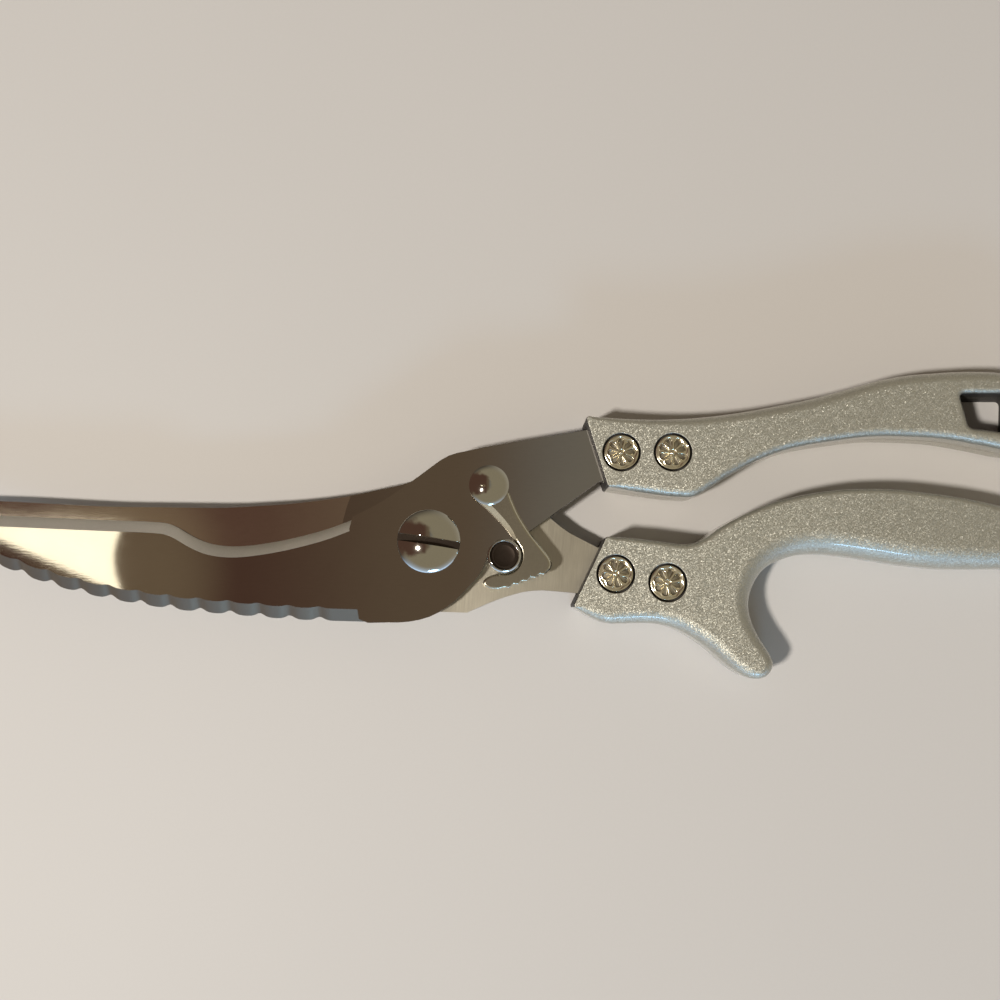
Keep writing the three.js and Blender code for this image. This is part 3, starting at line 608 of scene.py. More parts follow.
def make_piece(name: str, points: np.ndarray, faces: Iterable[Sequence[int]]) -> bpy.types.Object:
    """New piece from points in millimetres.

    Args:
        name: the piece's name.
        points: its points, one a row.
        faces: its faces, as runs of point numbers.

    Returns:
        The piece, with its faces turned outwards.
    """
    mesh = bpy.data.meshes.new(name)
    mesh.from_pydata((np.asarray(points, float) * MM).tolist(), [], [list(face) for face in faces])
    piece = bpy.data.objects.new(name, mesh)
    bpy.context.scene.collection.objects.link(piece)
    turn_outwards(mesh)
    return piece


def turn_outwards(mesh: bpy.types.Mesh) -> None:
    """Merges a mesh's doubles and turns its faces outwards.

    Args:
        mesh: the mesh.
    """
    form = bmesh.new()
    form.from_mesh(mesh)
    bmesh.ops.remove_doubles(form, verts=form.verts, dist=MERGE_GAP)
    bmesh.ops.recalc_face_normals(form, faces=form.faces)
    form.to_mesh(mesh)
    form.free()


def stacked(name: str, rows: Sequence[np.ndarray]) -> bpy.types.Object:
    """Closed piece through a stack of rings of equal count, with a flat face at both ends.

    Args:
        name: the piece's name.
        rows: rings of points in millimetres.

    Returns:
        The piece.
    """
    count = len(rows[0])
    faces = [list(range(count)), [(len(rows) - 1) * count + k for k in range(count)]]
    for row in range(len(rows) - 1):
        for k in range(count):
            a = row * count + k
            b = row * count + (k + 1) % count
            faces.append([a, b, b + count, a + count])
    return make_piece(name, np.vstack(rows), faces)


def turned(
    name: str, profile: Sequence[Pair], centre: Pair = (0.0, 0.0), segments: int = 96
) -> bpy.types.Object:
    """Turned piece about an upright axis.

    Args:
        name: the piece's name.
        profile: pairs of radius and height in millimetres, from one pole to the other.
        centre: place of the axis.
        segments: number of steps around.

    Returns:
        The piece.
    """
    angles = np.linspace(0, 2 * math.pi, segments, endpoint=False)
    x, y = centre
    points = [(x, y, profile[0][1])]
    for radius, height in profile[1:-1]:
        points += [(x + radius * math.cos(a), y + radius * math.sin(a), height) for a in angles]
    points.append((x, y, profile[-1][1]))
    last = len(points) - 1
    rings = len(profile) - 2
    faces = []
    for k in range(segments):
        n = (k + 1) % segments
        faces.append([0, 1 + n, 1 + k])
        faces.append([last, last - segments + k, last - segments + n])
        for row in range(rings - 1):
            a, b = 1 + row * segments + k, 1 + row * segments + n
            faces.append([a, b, b + segments, a + segments])
    return make_piece(name, np.array(points), faces)


def ball_cap(radius: float, low: float, height: float, steps: int = 14) -> list[Pair]:
    """Cap of a ball as pairs of radius and height, from its rim to its top.

    Args:
        radius: radius of the rim.
        low: height of the rim.
        height: height of the cap.
        steps: number of steps.

    Returns:
        The pairs.
    """
    ball = (radius**2 + height**2) / (2 * height)
    angles = np.linspace(math.asin(radius / ball), 0, steps + 1)
    return [(ball * math.sin(a), low + height - ball * (1 - math.cos(a))) for a in angles]


def quarter(centre: Pair, radius: float, degrees: Pair, steps: int = 5) -> list[Pair]:
    """Rounded corner of a profile.

    Args:
        centre: centre of the corner's arc.
        radius: its radius.
        degrees: its first and last angle.
        steps: number of steps.

    Returns:
        Pairs of radius and height.
    """
    angles = np.radians(np.linspace(*degrees, steps + 1))
    return [(centre[0] + radius * math.cos(a), centre[1] + radius * math.sin(a)) for a in angles]


def settle(piece: bpy.types.Object) -> bpy.types.Object:
    """Turns a piece with modifiers into a plain mesh and removes them.

    Args:
        piece: the piece.

    Returns:
        The same piece, with its final mesh.
    """
    bpy.context.view_layer.update()
    graph = bpy.context.evaluated_depsgraph_get()
    mesh = bpy.data.meshes.new_from_object(piece.evaluated_get(graph))
    old = piece.data
    name = old.name
    piece.modifiers.clear()
    piece.data = mesh
    bpy.data.meshes.remove(old)
    mesh.name = name
    return piece


def cut(piece: bpy.types.Object, cutters: Sequence[bpy.types.Object]) -> bpy.types.Object:
    """Cuts other pieces out of one, and removes them.

    Args:
        piece: the piece that is cut.
        cutters: the pieces that are cut out of it.

    Returns:
        The piece.
    """
    for cutter in cutters:
        modifier = piece.modifiers.new("cut", "BOOLEAN")
        modifier.operation = "DIFFERENCE"
        modifier.solver = "EXACT"
        modifier.object = cutter
    settle(piece)
    for cutter in cutters:
        mesh = cutter.data
        bpy.data.objects.remove(cutter)
        bpy.data.meshes.remove(mesh)
    return piece


def soften(
    piece: bpy.types.Object, width: float = 0.0, angle: float = 32.0, steps: int = 2
) -> bpy.types.Object:
    """Breaks a piece's edges and shades it smoothly between them.

    Args:
        piece: the piece.
        width: width of the broken edges in millimetres, or 0 for none.
        angle: least angle of an edge, in degrees.
        steps: number of facets of a broken edge.

    Returns:
        The piece.
    """
    piece.data.shade_smooth()
    if width:
        bevel = piece.modifiers.new("edges", "BEVEL")
        bevel.width = width * MM
        bevel.segments = steps
        bevel.limit_method = "ANGLE"
        bevel.angle_limit = math.radians(angle)
        bevel.use_clamp_overlap = True
        bevel.miter_outer = "MITER_ARC"
        settle(piece)
        piece.data.shade_smooth()
    piece.data.set_sharp_from_angle(angle=math.radians(angle))
    weighted = piece.modifiers.new("normals", "WEIGHTED_NORMAL")
    weighted.keep_sharp = True
    weighted.weight = NORMAL_WEIGHT
    return settle(piece)


def cad_copy(node: str, name: str) -> bpy.types.Object:
    """Copy of a CAD node as one closed mesh with its flat faces joined.

    Args:
        node: the node.
        name: name of the copy.

    Returns:
        The copy.
    """
    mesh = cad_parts[node].data.copy()
    mesh.name = name
    mesh.materials.clear()
    if mesh.has_custom_normals:
        mesh.normals_split_custom_set([(0.0, 0.0, 0.0)] * len(mesh.loops))
    form = bmesh.new()
    form.from_mesh(mesh)
    bmesh.ops.remove_doubles(form, verts=form.verts, dist=CAD_MERGE_GAP)
    flat = math.radians(CAD_FLAT_DEG)
    bmesh.ops.dissolve_limit(form, angle_limit=flat, verts=form.verts, edges=form.edges)
    form.to_mesh(mesh)
    form.free()
    piece = bpy.data.objects.new(name, mesh)
    bpy.context.scene.collection.objects.link(piece)
    return piece


def new_tree(name: str, inputs: dict[str, str]) -> tuple[NodeSheet, list[Value]]:
    """New geometry tree that takes a geometry and named inputs.

    Args:
        name: the tree's name.
        inputs: kind of each input's socket, by the input's name.

    Returns:
        The tree's sheet, and the geometry and the inputs as values.
    """
    tree = bpy.data.node_groups.new(name, "GeometryNodeTree")
    face = tree.interface
    face.new_socket("Geometry", in_out="OUTPUT", socket_type="NodeSocketGeometry")
    face.new_socket("Geometry", in_out="INPUT", socket_type="NodeSocketGeometry")
    for label, kind in inputs.items():
        face.new_socket(label, in_out="INPUT", socket_type=kind)
    sheet = NodeSheet(tree)
    given = sheet.node("NodeGroupInput")
    return sheet, [Value(sheet, socket) for socket in given.outputs][: len(inputs) + 1]


def end_tree(sheet: NodeSheet, geometry: Value, finish: Value) -> bpy.types.NodeTree:
    """Ends a geometry tree in real meshes with one finish.

    Args:
        sheet: the tree's sheet.
        geometry: what the tree has made.
        finish: the material.

    Returns:
        The tree.
    """
    real = sheet.value("GeometryNodeRealizeInstances", None, {"Geometry": geometry})
    done = sheet.value("GeometryNodeSetMaterial", None, {"Geometry": real, "Material": finish})
    sheet.node("NodeGroupOutput", None, {0: done})
    return sheet.tree


def run_tree(
    piece: bpy.types.Object, tree: bpy.types.NodeTree, inputs: dict[str, bpy.types.ID | float]
) -> bpy.types.Object:
    """Runs a geometry tree on a piece and keeps what it makes as a plain mesh.

    Args:
        piece: the piece.
        tree: the tree.
        inputs: the tree's inputs, by name.

    Returns:
        The piece.
    """
    modifier = piece.modifiers.new(tree.name, "NODES")
    modifier.node_group = tree
    for item in tree.interface.items_tree:
        if item.item_type == "SOCKET" and item.name in inputs:
            modifier[item.identifier] = inputs[item.name]
    return settle(piece)


class Slot(Enum):
    """The record's material slots."""

    BLADE = "blade_steel"
    LATCH = "latch_steel"
    BRIGHT = "bright_metal"
    SPRING = "spring_steel"
    HANDLE = "handle_silver"


class Body(Enum):
    """The bodies that move."""

    FRONT = "front_lever"
    REAR = "rear_lever"
    LATCH = "latch_arm"


class Finishes:
    """The materials, each made once."""

    def __init__(self) -> None:
        """Starts with none made."""
        self.made: dict[str, bpy.types.Material] = {}

    def get(self, finish: Finish) -> bpy.types.Material:
        """Material of a finish, made at its first use.

        Args:
            finish: the finish.

        Returns:
            The material.
        """
        if finish.name not in self.made:
            self.made[finish.name] = finish.material()
        return self.made[finish.name]


FINISHES = Finishes()


def coat(piece: bpy.types.Object, *finishes: Finish) -> bpy.types.Object:
    """Gives a piece its materials, in the order of its faces' numbers.

    Args:
        piece: the piece.
        finishes: its finishes.

    Returns:
        The piece.
    """
    numbers = [face.material_index for face in piece.data.polygons]
    piece.data.materials.clear()
    for finish in finishes:
        piece.data.materials.append(FINISHES.get(finish))
    for face, number in zip(piece.data.polygons, numbers):
        face.material_index = min(number, len(finishes) - 1)
    return piece


def join_part(piece: bpy.types.Object, body: Body, slot: Slot, *nodes: str) -> None:
    """Puts a finished piece on its body in place of CAD nodes.

    Args:
        piece: the piece.
        body: the body it moves with.
        slot: the material slot for its finish; not used.
        nodes: the CAD nodes it stands for.
    """
    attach(piece, body.value)
    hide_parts(*nodes)
    log.info("%s: %d faces on %s", piece.name, len(piece.data.polygons), body.value)


class ShellZone(IntEnum):
    """Parts of a handle shell's surface, in the order of its finishes."""

    PAINTED = 0
    BARE = 1


@dataclass
class Handle:
    """One handle: two painted half shells clamped on a tang. Millimetres."""

    side: str
    body: Body
    marks: Sequence[Triple]
    rivets: Sequence[Pair]
    tang_room: Sequence[Pair]
    tang_levels: Pair
    tang_in_front: bool
    slot_corners: Sequence[Pair] = ()
    slot_corner_r: float = 1.2
    slot_corner_steps: int = 12
    slot_lip: float = 1.15
    slot_lip_steps: int = 7
    slot_margin: float = 0.1
    wall_slope: float = 0.2
    thick: float = 13.0
    parting_gap: float = 0.1
    seam: float = 0.12
    step: float = 0.5
    rounding_steps: int = 9
    corner_r: float = 0.7
    corner_reach: int = 4
    corner_room: float = 1.25
    end_rounding: float = 0.32
    end_facing: float = 0.35
    bore_r: float = 4.0
    bore_depth: float = 1.4
    bore_lip: float = 0.16
    bore_over: float = 1.0
    bore_segments: int = 72
    seat_margin: float = 0.02
    shank_hole_r: float = 2.3
    barrel_hole_r: float = 3.0
    sharp_deg: float = 28.0

    def rim(self) -> tuple[np.ndarray, np.ndarray]:
        """Outline of the handle.

        Returns:
            The outline, one point a row, and the rounding at each point.
        """
        run = smooth_run(self.marks, self.step)
        first, last = run[0, :2], run[-1, :2]
        top = eased_corner(run[-1 - self.corner_reach, :2], last, first, self.corner_r)
        low = eased_corner(last, first, run[self.corner_reach, :2], self.corner_r)
        clear = [min(np.linalg.norm(spot[:2] - first), np.linalg.norm(spot[:2] - last)) for spot in run]
        taken = max(np.linalg.norm(top[0] - last), np.linalg.norm(low[0] - first))
        run = run[np.array(clear) > self.corner_room * taken]
        front = even(np.array([top[-1], low[0]]), self.step)[1:-1]
        ends = np.vstack([top, front, low])
        outline = np.vstack([run[:, :2], ends])
        wanted = np.concatenate([run[:, 2], np.full(len(ends), self.end_rounding)])
        return outline, rounding_room(outline, wanted)

    def half(self, front: bool) -> bpy.types.Object:
        """One shell before it is bored.

        Args:
            front: whether it is the front shell.

        Returns:
            The shell.
        """
        outline, rounding = self.rim()
        into = inward(outline)
        up = 1 if front else -1
        parting = self.thick / 2 + up * self.parting_gap / 2
        face = self.thick if front else 0.0
        level = np.full((len(outline), 1), parting)
        rows = [
            np.hstack([outline + self.seam * into, level]),
            np.hstack([outline, level + up * self.seam]),
        ]
        for turn in np.linspace(0, math.pi / 2, self.rounding_steps):
            inset = (rounding * (1 - math.cos(turn)))[:, None]
            height = (face - up * rounding * (1 - math.sin(turn)))[:, None]
            rows.append(np.hstack([outline + inset * into, height]))
        return stacked(f"{self.side}_handle_{'front' if front else 'rear'}", rows)

    def bore(self, front: bool, place: Pair) -> bpy.types.Object:
        """Cutter for one rivet's hole and the seat of its head.

        Args:
            front: whether it is for the front shell.
            place: place of the rivet.

        Returns:
            The cutter.
        """
        hole = self.shank_hole_r if front else self.barrel_hole_r
        outer = self.bore_r + self.bore_lip
        lip = [(outer - r, z) for r, z in quarter((0, 0), self.bore_lip, (0, 90))]
        depths = [(0.0, self.thick), (hole, self.thick)]
        depths += [(hole, self.bore_depth), (self.bore_r, self.bore_depth)]
        depths += [(r, self.bore_lip - z) for r, z in lip]
        depths += [(outer, -self.bore_over), (0.0, -self.bore_over)]
        profile = [(r, self.thick - depth if front else depth) for r, depth in depths]
        return turned(f"bore_{self.side}", profile, place, self.bore_segments)

    def hang_slot(self, front: bool) -> bpy.types.Object:
        """Cutter for the hanging slot, with a rounded lip.

        Args:
            front: whether it is for the front shell.

        Returns:
            The cutter.
        """
        corners = np.array(self.slot_corners, float)
        share = np.linspace(0, 1, self.slot_corner_steps + 1)[:, None]
        runs = []
        for k, corner in enumerate(corners):
            ends = [corners[k - 1] - corner, corners[(k + 1) % len(corners)] - corner]
            first, last = (corner + self.slot_corner_r * end / np.linalg.norm(end) for end in ends)
            runs.append((1 - share) ** 2 * first + 2 * share * (1 - share) * corner + share**2 * last)
        outline = np.vstack(runs)
        outwards = -inward(outline)
        rows = [(-0.5 * self.thick, 0.0), (self.thick / 4, 0.0)]
        for turn in np.linspace(0, math.pi / 2, self.slot_lip_steps + 1):
            flare = self.slot_lip * (1 - math.cos(turn))
            rows.append((self.thick / 2 - self.slot_lip * (1 - math.sin(turn)), flare))
        rows.append((self.thick, self.slot_lip))
        up = 1 if front else -1
        rings = []
        for height, flare in rows:
            level = np.full((len(outline), 1), self.thick / 2 + up * height)
            rings.append(np.hstack([outline + flare * outwards, level]))
        return stacked("hang_slot", rings)

    def mark_shaded(self, shell: bpy.types.Object) -> None:
        """Marks the faces that get painted shade: slot walls, rivet seats and the front end.

        Args:
            shell: the shell.
        """
        first, last = (np.array(self.marks[k][:2], float) for k in (0, -1))
        edge = (last - first) / np.linalg.norm(last - first)
        ahead = np.array([-edge[1], edge[0]])
        corners = np.array(self.slot_corners or [first], float)
        low, high = corners.min(axis=0) - self.slot_margin, corners.max(axis=0) + self.slot_margin
        seat_r = self.bore_r + self.seat_margin
        for face in shell.data.polygons:
            spot = np.array(face.center[:2]) / MM
            in_slot = np.all((spot > low) & (spot < high)) and abs(face.normal.z) < self.wall_slope
            in_seat = any(np.linalg.norm(spot - place) < seat_r for place in self.rivets)
            facing = np.array(face.normal[:2]) @ ahead
            at_end = abs((spot - first) @ ahead) < self.end_rounding and facing > self.end_facing
            # Painted shade goes on these faces.
            shaded = in_slot or in_seat or at_end
            face.material_index = ShellZone.BARE if shaded else ShellZone.PAINTED

    def build(self) -> None:
        """Makes both shells and puts them on their body."""
        for front in (True, False):
            shell = self.half(front)
            cutters = [self.bore(front, place) for place in self.rivets]
            if len(self.slot_corners):
                cutters.append(self.hang_slot(front))
            if front == self.tang_in_front:
                plan = np.array(self.tang_room, float)
                levels = [np.full((len(plan), 1), level) for level in self.tang_levels]
                cutters.append(stacked("tang_room", [np.hstack([plan, level]) for level in levels]))
            cut(shell, cutters)
            soften(shell, angle=self.sharp_deg)
            self.mark_shaded(shell)
            coat(shell, SILVER_PAINT, WALL_SHADE_PAINT)
            end = "front" if front else "rear"
            join_part(shell, self.body, Slot.HANDLE, f"{self.side}_handle_{end}_shell")


@dataclass
class HandleRivets:
    """Rosette heads and plain caps of the handle rivets. Millimetres."""

    upper: Sequence[Pair] = ((40.2, 18.4), (50.9, 18.4))
    lower: Sequence[Pair] = ((38.8, -6.9), (49.5, -8.7))
    turns: Sequence[float] = (4.0, 20.0, 11.0, 31.0)
    head_r: float = 3.65
    head_h: float = 1.2
    sink: float = 0.15
    thick: float = 13.0
    petals: int = 8
    petal_from: float = 0.72
    petal_to: float = 2.8
    petal_half: float = 0.94
    petal_least: float = 0.02
    petal_taper: float = 0.8
    petal_end: int = 8
    petal_bowl: float = 1.25
    petal_depth: float = 0.46
    flower_r: float = 2.98
    flower_wave: float = 0.18
    flower_dome: float = 0.16
    flower_edge: float = 0.18
    rim_drop: float = 0.3
    rim_rise: float = 0.24
    dot_r: float = 0.46
    dot_groove: float = 0.2
    dot_edge: float = 0.13
    shank_r: float = 2.2
    barrel_r: float = 2.9
    barrel_h: float = 1.65
    barrel_room: float = 0.06
    cap_dish: Pair = (1.2, 0.02)
    cap_round: float = 0.4
    cap_floor: float = 0.05
    cap_segments: int = 72
    cap_sharp_deg: float = 40.0
    rings: int = 52
    spokes: int = 240
    sharp_deg: float = 50.0

    def petal(self, radius: np.ndarray, angle: np.ndarray) -> np.ndarray:
        """How deep a place lies in a drop-shaped petal.

        Args:
            radius: distance from the middle.
            angle: angle around the middle.

        Returns:
            0 on the ridges to 1 on the floor of a petal.
        """
        step = 2 * math.pi / self.petals
        off = (angle + step / 2) % step - step / 2
        share = np.clip((radius - self.petal_from) / (self.petal_to - self.petal_from), 0, 1)
        half = self.petal_half * share**self.petal_taper * np.sqrt(1 - share**self.petal_end) + LEAST
        deep = np.clip(self.petal_bowl * (1 - (radius * off / half) ** 2), 0, 1)
        deep = deep * (half > self.petal_least)
        return deep * deep * (3 - 2 * deep)

    def height(self, radius: np.ndarray, angle: np.ndarray) -> np.ndarray:
        """Height of the rosette's face below its highest level.

        Args:
            radius: distance from the middle.
            angle: angle around the middle.

        Returns:
            The height, at most 0.
        """
        edge = self.flower_r + self.flower_wave * np.cos(self.petals * angle)
        flower = -self.flower_dome * (radius / self.flower_r) ** 2
        across = np.clip((radius - edge) / (self.head_r - edge), 0, 1)
        rim = -self.rim_drop + self.rim_rise * np.sqrt(1 - (2 * across - 1) ** 2)
        blend = np.clip((edge - radius) / self.flower_edge + 0.5, 0, 1)
        level = flower * blend + rim * (1 - blend)
        level = level - self.petal_depth * self.petal(radius, angle)
        return level - self.dot_groove * np.exp(-(((radius - self.dot_r) / self.dot_edge) ** 2))

    def head(self) -> bpy.types.Object:
        """Rosette head on its shank, with the top level at height 0.

        Returns:
            The head.
        """
        radii = np.linspace(0, self.head_r, self.rings + 1)[1:]
        angles = np.linspace(0, 2 * math.pi, self.spokes, endpoint=False)
        grid_r, grid_a = np.meshgrid(radii, angles, indexing="ij")
        grid_z = self.height(grid_r, grid_a)
        circle = np.stack([np.cos(angles), np.sin(angles)], axis=1)
        rows = [np.column_stack([r * circle, z]) for r, z in zip(radii, grid_z)]
        seat = -self.head_h
        foot = -(self.thick - 2 * self.sink - self.head_h)
        for radius, level in ((self.head_r, seat), (self.shank_r, seat), (self.shank_r, foot)):
            rows.append(np.column_stack([radius * circle, np.full(self.spokes, level)]))
        top = np.array([[0.0, 0.0, float(self.height(np.zeros(1), np.zeros(1))[0])]])
        points = np.vstack([top, *rows])
        faces = []
        for k in range(self.spokes):
            n = (k + 1) % self.spokes
            faces.append([0, 1 + k, 1 + n])
            for row in range(len(rows) - 1):
                a, b = 1 + row * self.spokes + k, 1 + row * self.spokes + n
                faces.append([a, a + self.spokes, b + self.spokes, b])
        faces.append([1 + (len(rows) - 1) * self.spokes + k for k in range(self.spokes)])
        head = soften(make_piece("rosette", points, faces), angle=self.sharp_deg)
        # Painted shade: the petal hollows are darkened, more towards their outer ends, through a point
        # attribute.
        spots = np.array([vertex.co[:] for vertex in head.data.vertices]) / MM
        radius = np.hypot(spots[:, 0], spots[:, 1])
        deep = self.petal(radius, np.arctan2(spots[:, 1], spots[:, 0])) * (spots[:, 2] > seat / 2)
        petal_shade = deep * np.clip(radius / self.petal_to, 0, 1)
        head.data.attributes.new("recess", "FLOAT", "POINT").data.foreach_set("value", petal_shade)
        return head

    def cap(self) -> bpy.types.Object:
        """Plain rear cap with its tube, with the outer level at height 0.

        Returns:
            The cap.
        """
        bore = self.shank_r + self.barrel_room
        top = self.head_h + self.barrel_h
        floor = self.head_h - self.cap_floor
        profile = [(0.0, 0.0), self.cap_dish]
        profile += quarter((self.head_r - self.cap_round, self.cap_round), self.cap_round, (-90, 0))
        profile += [(self.head_r, self.head_h), (self.barrel_r, self.head_h), (self.barrel_r, top)]
        profile += [(bore, top), (bore, floor), (0.0, floor)]
        return soften(turned("cap", profile, segments=self.cap_segments), angle=self.cap_sharp_deg)

    def tree(self) -> bpy.types.NodeTree:
        """Node tree that sets one form on each of a piece's points.

        Returns:
            The tree, with inputs for the form, its finish and its size.
        """
        inputs = {"Form": "NodeSocketObject", "Finish": "NodeSocketMaterial", "Size": "NodeSocketFloat"}
        sheet, (points, form, finish, size) = new_tree("set_on_points", inputs)
        shape = sheet.value("GeometryNodeObjectInfo", None, {"Object": form}, "Geometry")
        turn = sheet.value("GeometryNodeInputNamedAttribute", {"data_type": "FLOAT"}, {"Name": "turn"})
        about = sheet.value("ShaderNodeCombineXYZ", None, {"Z": turn})
        sockets = {"Points": points, "Instance": shape, "Rotation": about, "Scale": size}
        placed = sheet.value("GeometryNodeInstanceOnPoints", None, sockets)
        return end_tree(sheet, placed, finish)

    def set_on(
        self,
        name: str,
        form: bpy.types.Object,
        tree: bpy.types.NodeTree,
        spots: Sequence[Triple],
        turns: Sequence[float],
    ) -> bpy.types.Object:
        """Sets a form on places.

        Args:
            name: name of the piece.
            form: the form.
            tree: the node tree that sets it.
            spots: its places in millimetres.
            turns: its turn at each place, in degrees.

        Returns:
            One piece with the form at each place.
        """
        piece = make_piece(name, np.array(spots), [])
        attribute = piece.data.attributes.new("turn", "FLOAT", "POINT")
        attribute.data.foreach_set("value", np.radians(turns))
        finish = FINISHES.get(NICKEL)
        run_tree(piece, tree, {"Form": form, "Finish": finish, "Size": 1.0})
        piece.data.materials.clear()
        piece.data.materials.append(finish)
        return piece

    def build(self) -> None:
        """Makes the heads and caps and puts them on their bodies."""
        tree = self.tree()
        head, cap = self.head(), self.cap()
        sides = (("upper", Body.FRONT, self.upper), ("lower", Body.REAR, self.lower))
        for number, (side, body, places) in enumerate(sides):
            turns = self.turns[2 * number : 2 * number + 2]
            tops = [(x, y, self.thick - self.sink) for x, y in places]
            heads = self.set_on(f"{side}_rivets", head, tree, tops, turns)
            join_part(heads, body, Slot.BRIGHT, f"{side}_rivet_fore", f"{side}_rivet_aft")
            lows = [(x, y, self.sink) for x, y in places]
            caps = self.set_on(f"{side}_rivet_caps", cap, tree, lows, turns)
            join_part(caps, body, Slot.BRIGHT, f"{side}_rivet_fore_cap", f"{side}_rivet_aft_cap")
        for form in (head, cap):
            bpy.data.objects.remove(form)


class BladeZone(IntEnum):
    """Parts of a blade's surface, in the order of its finishes."""

    FACE = 0
    GROUND = 1
    SCALER = 2
    EDGE = 3
    RELIEF = 4


@dataclass
class Blade:
    """One ground blade with its tang. Millimetres."""

    node: str
    body: Body
    steel: Finish
    edge: float = 0.14
    heel_x: float = -12.6
    has_scaler: bool = True
    relief: Pair = (6.15, 6.25)
    wall_slope: float = 0.25
    flat_slope: float = 0.95
    sharp_deg: float = 24.0

    def zone(self, face: bpy.types.MeshPolygon) -> BladeZone:
        """Part of the surface that a face belongs to.

        Args:
            face: the face.

        Returns:
            The part.
        """
        slope = abs(face.normal.z)
        # Upright walls take the rough edge finish that is partly painted shade.
        if slope < self.wall_slope:
            return BladeZone.EDGE
        if slope < self.flat_slope and face.center.x < self.heel_x * MM:
            return BladeZone.SCALER if self.has_scaler and face.normal.y < 0 else BladeZone.GROUND
        if self.relief[0] < face.center.z / MM < self.relief[1]:
            return BladeZone.RELIEF
        return BladeZone.FACE

    def build(self) -> None:
        """Makes the blade and puts it on its body."""
        piece = cad_copy(self.node, f"{self.node}_steel")
        for face in piece.data.polygons:
            face.material_index = self.zone(face)
        soften(piece, self.edge, self.sharp_deg)
        coat(piece, self.steel, GROUND_STEEL, SCALER_STEEL, EDGE_STEEL_AND_SHADE, RELIEF_STEEL)
        join_part(piece, self.body, Slot.BLADE, self.node)


class HeadZone(IntEnum):
    """Parts of a screw's or stud's surface, in the order of its finishes."""

    BRIGHT = 0
    STAINED = 1


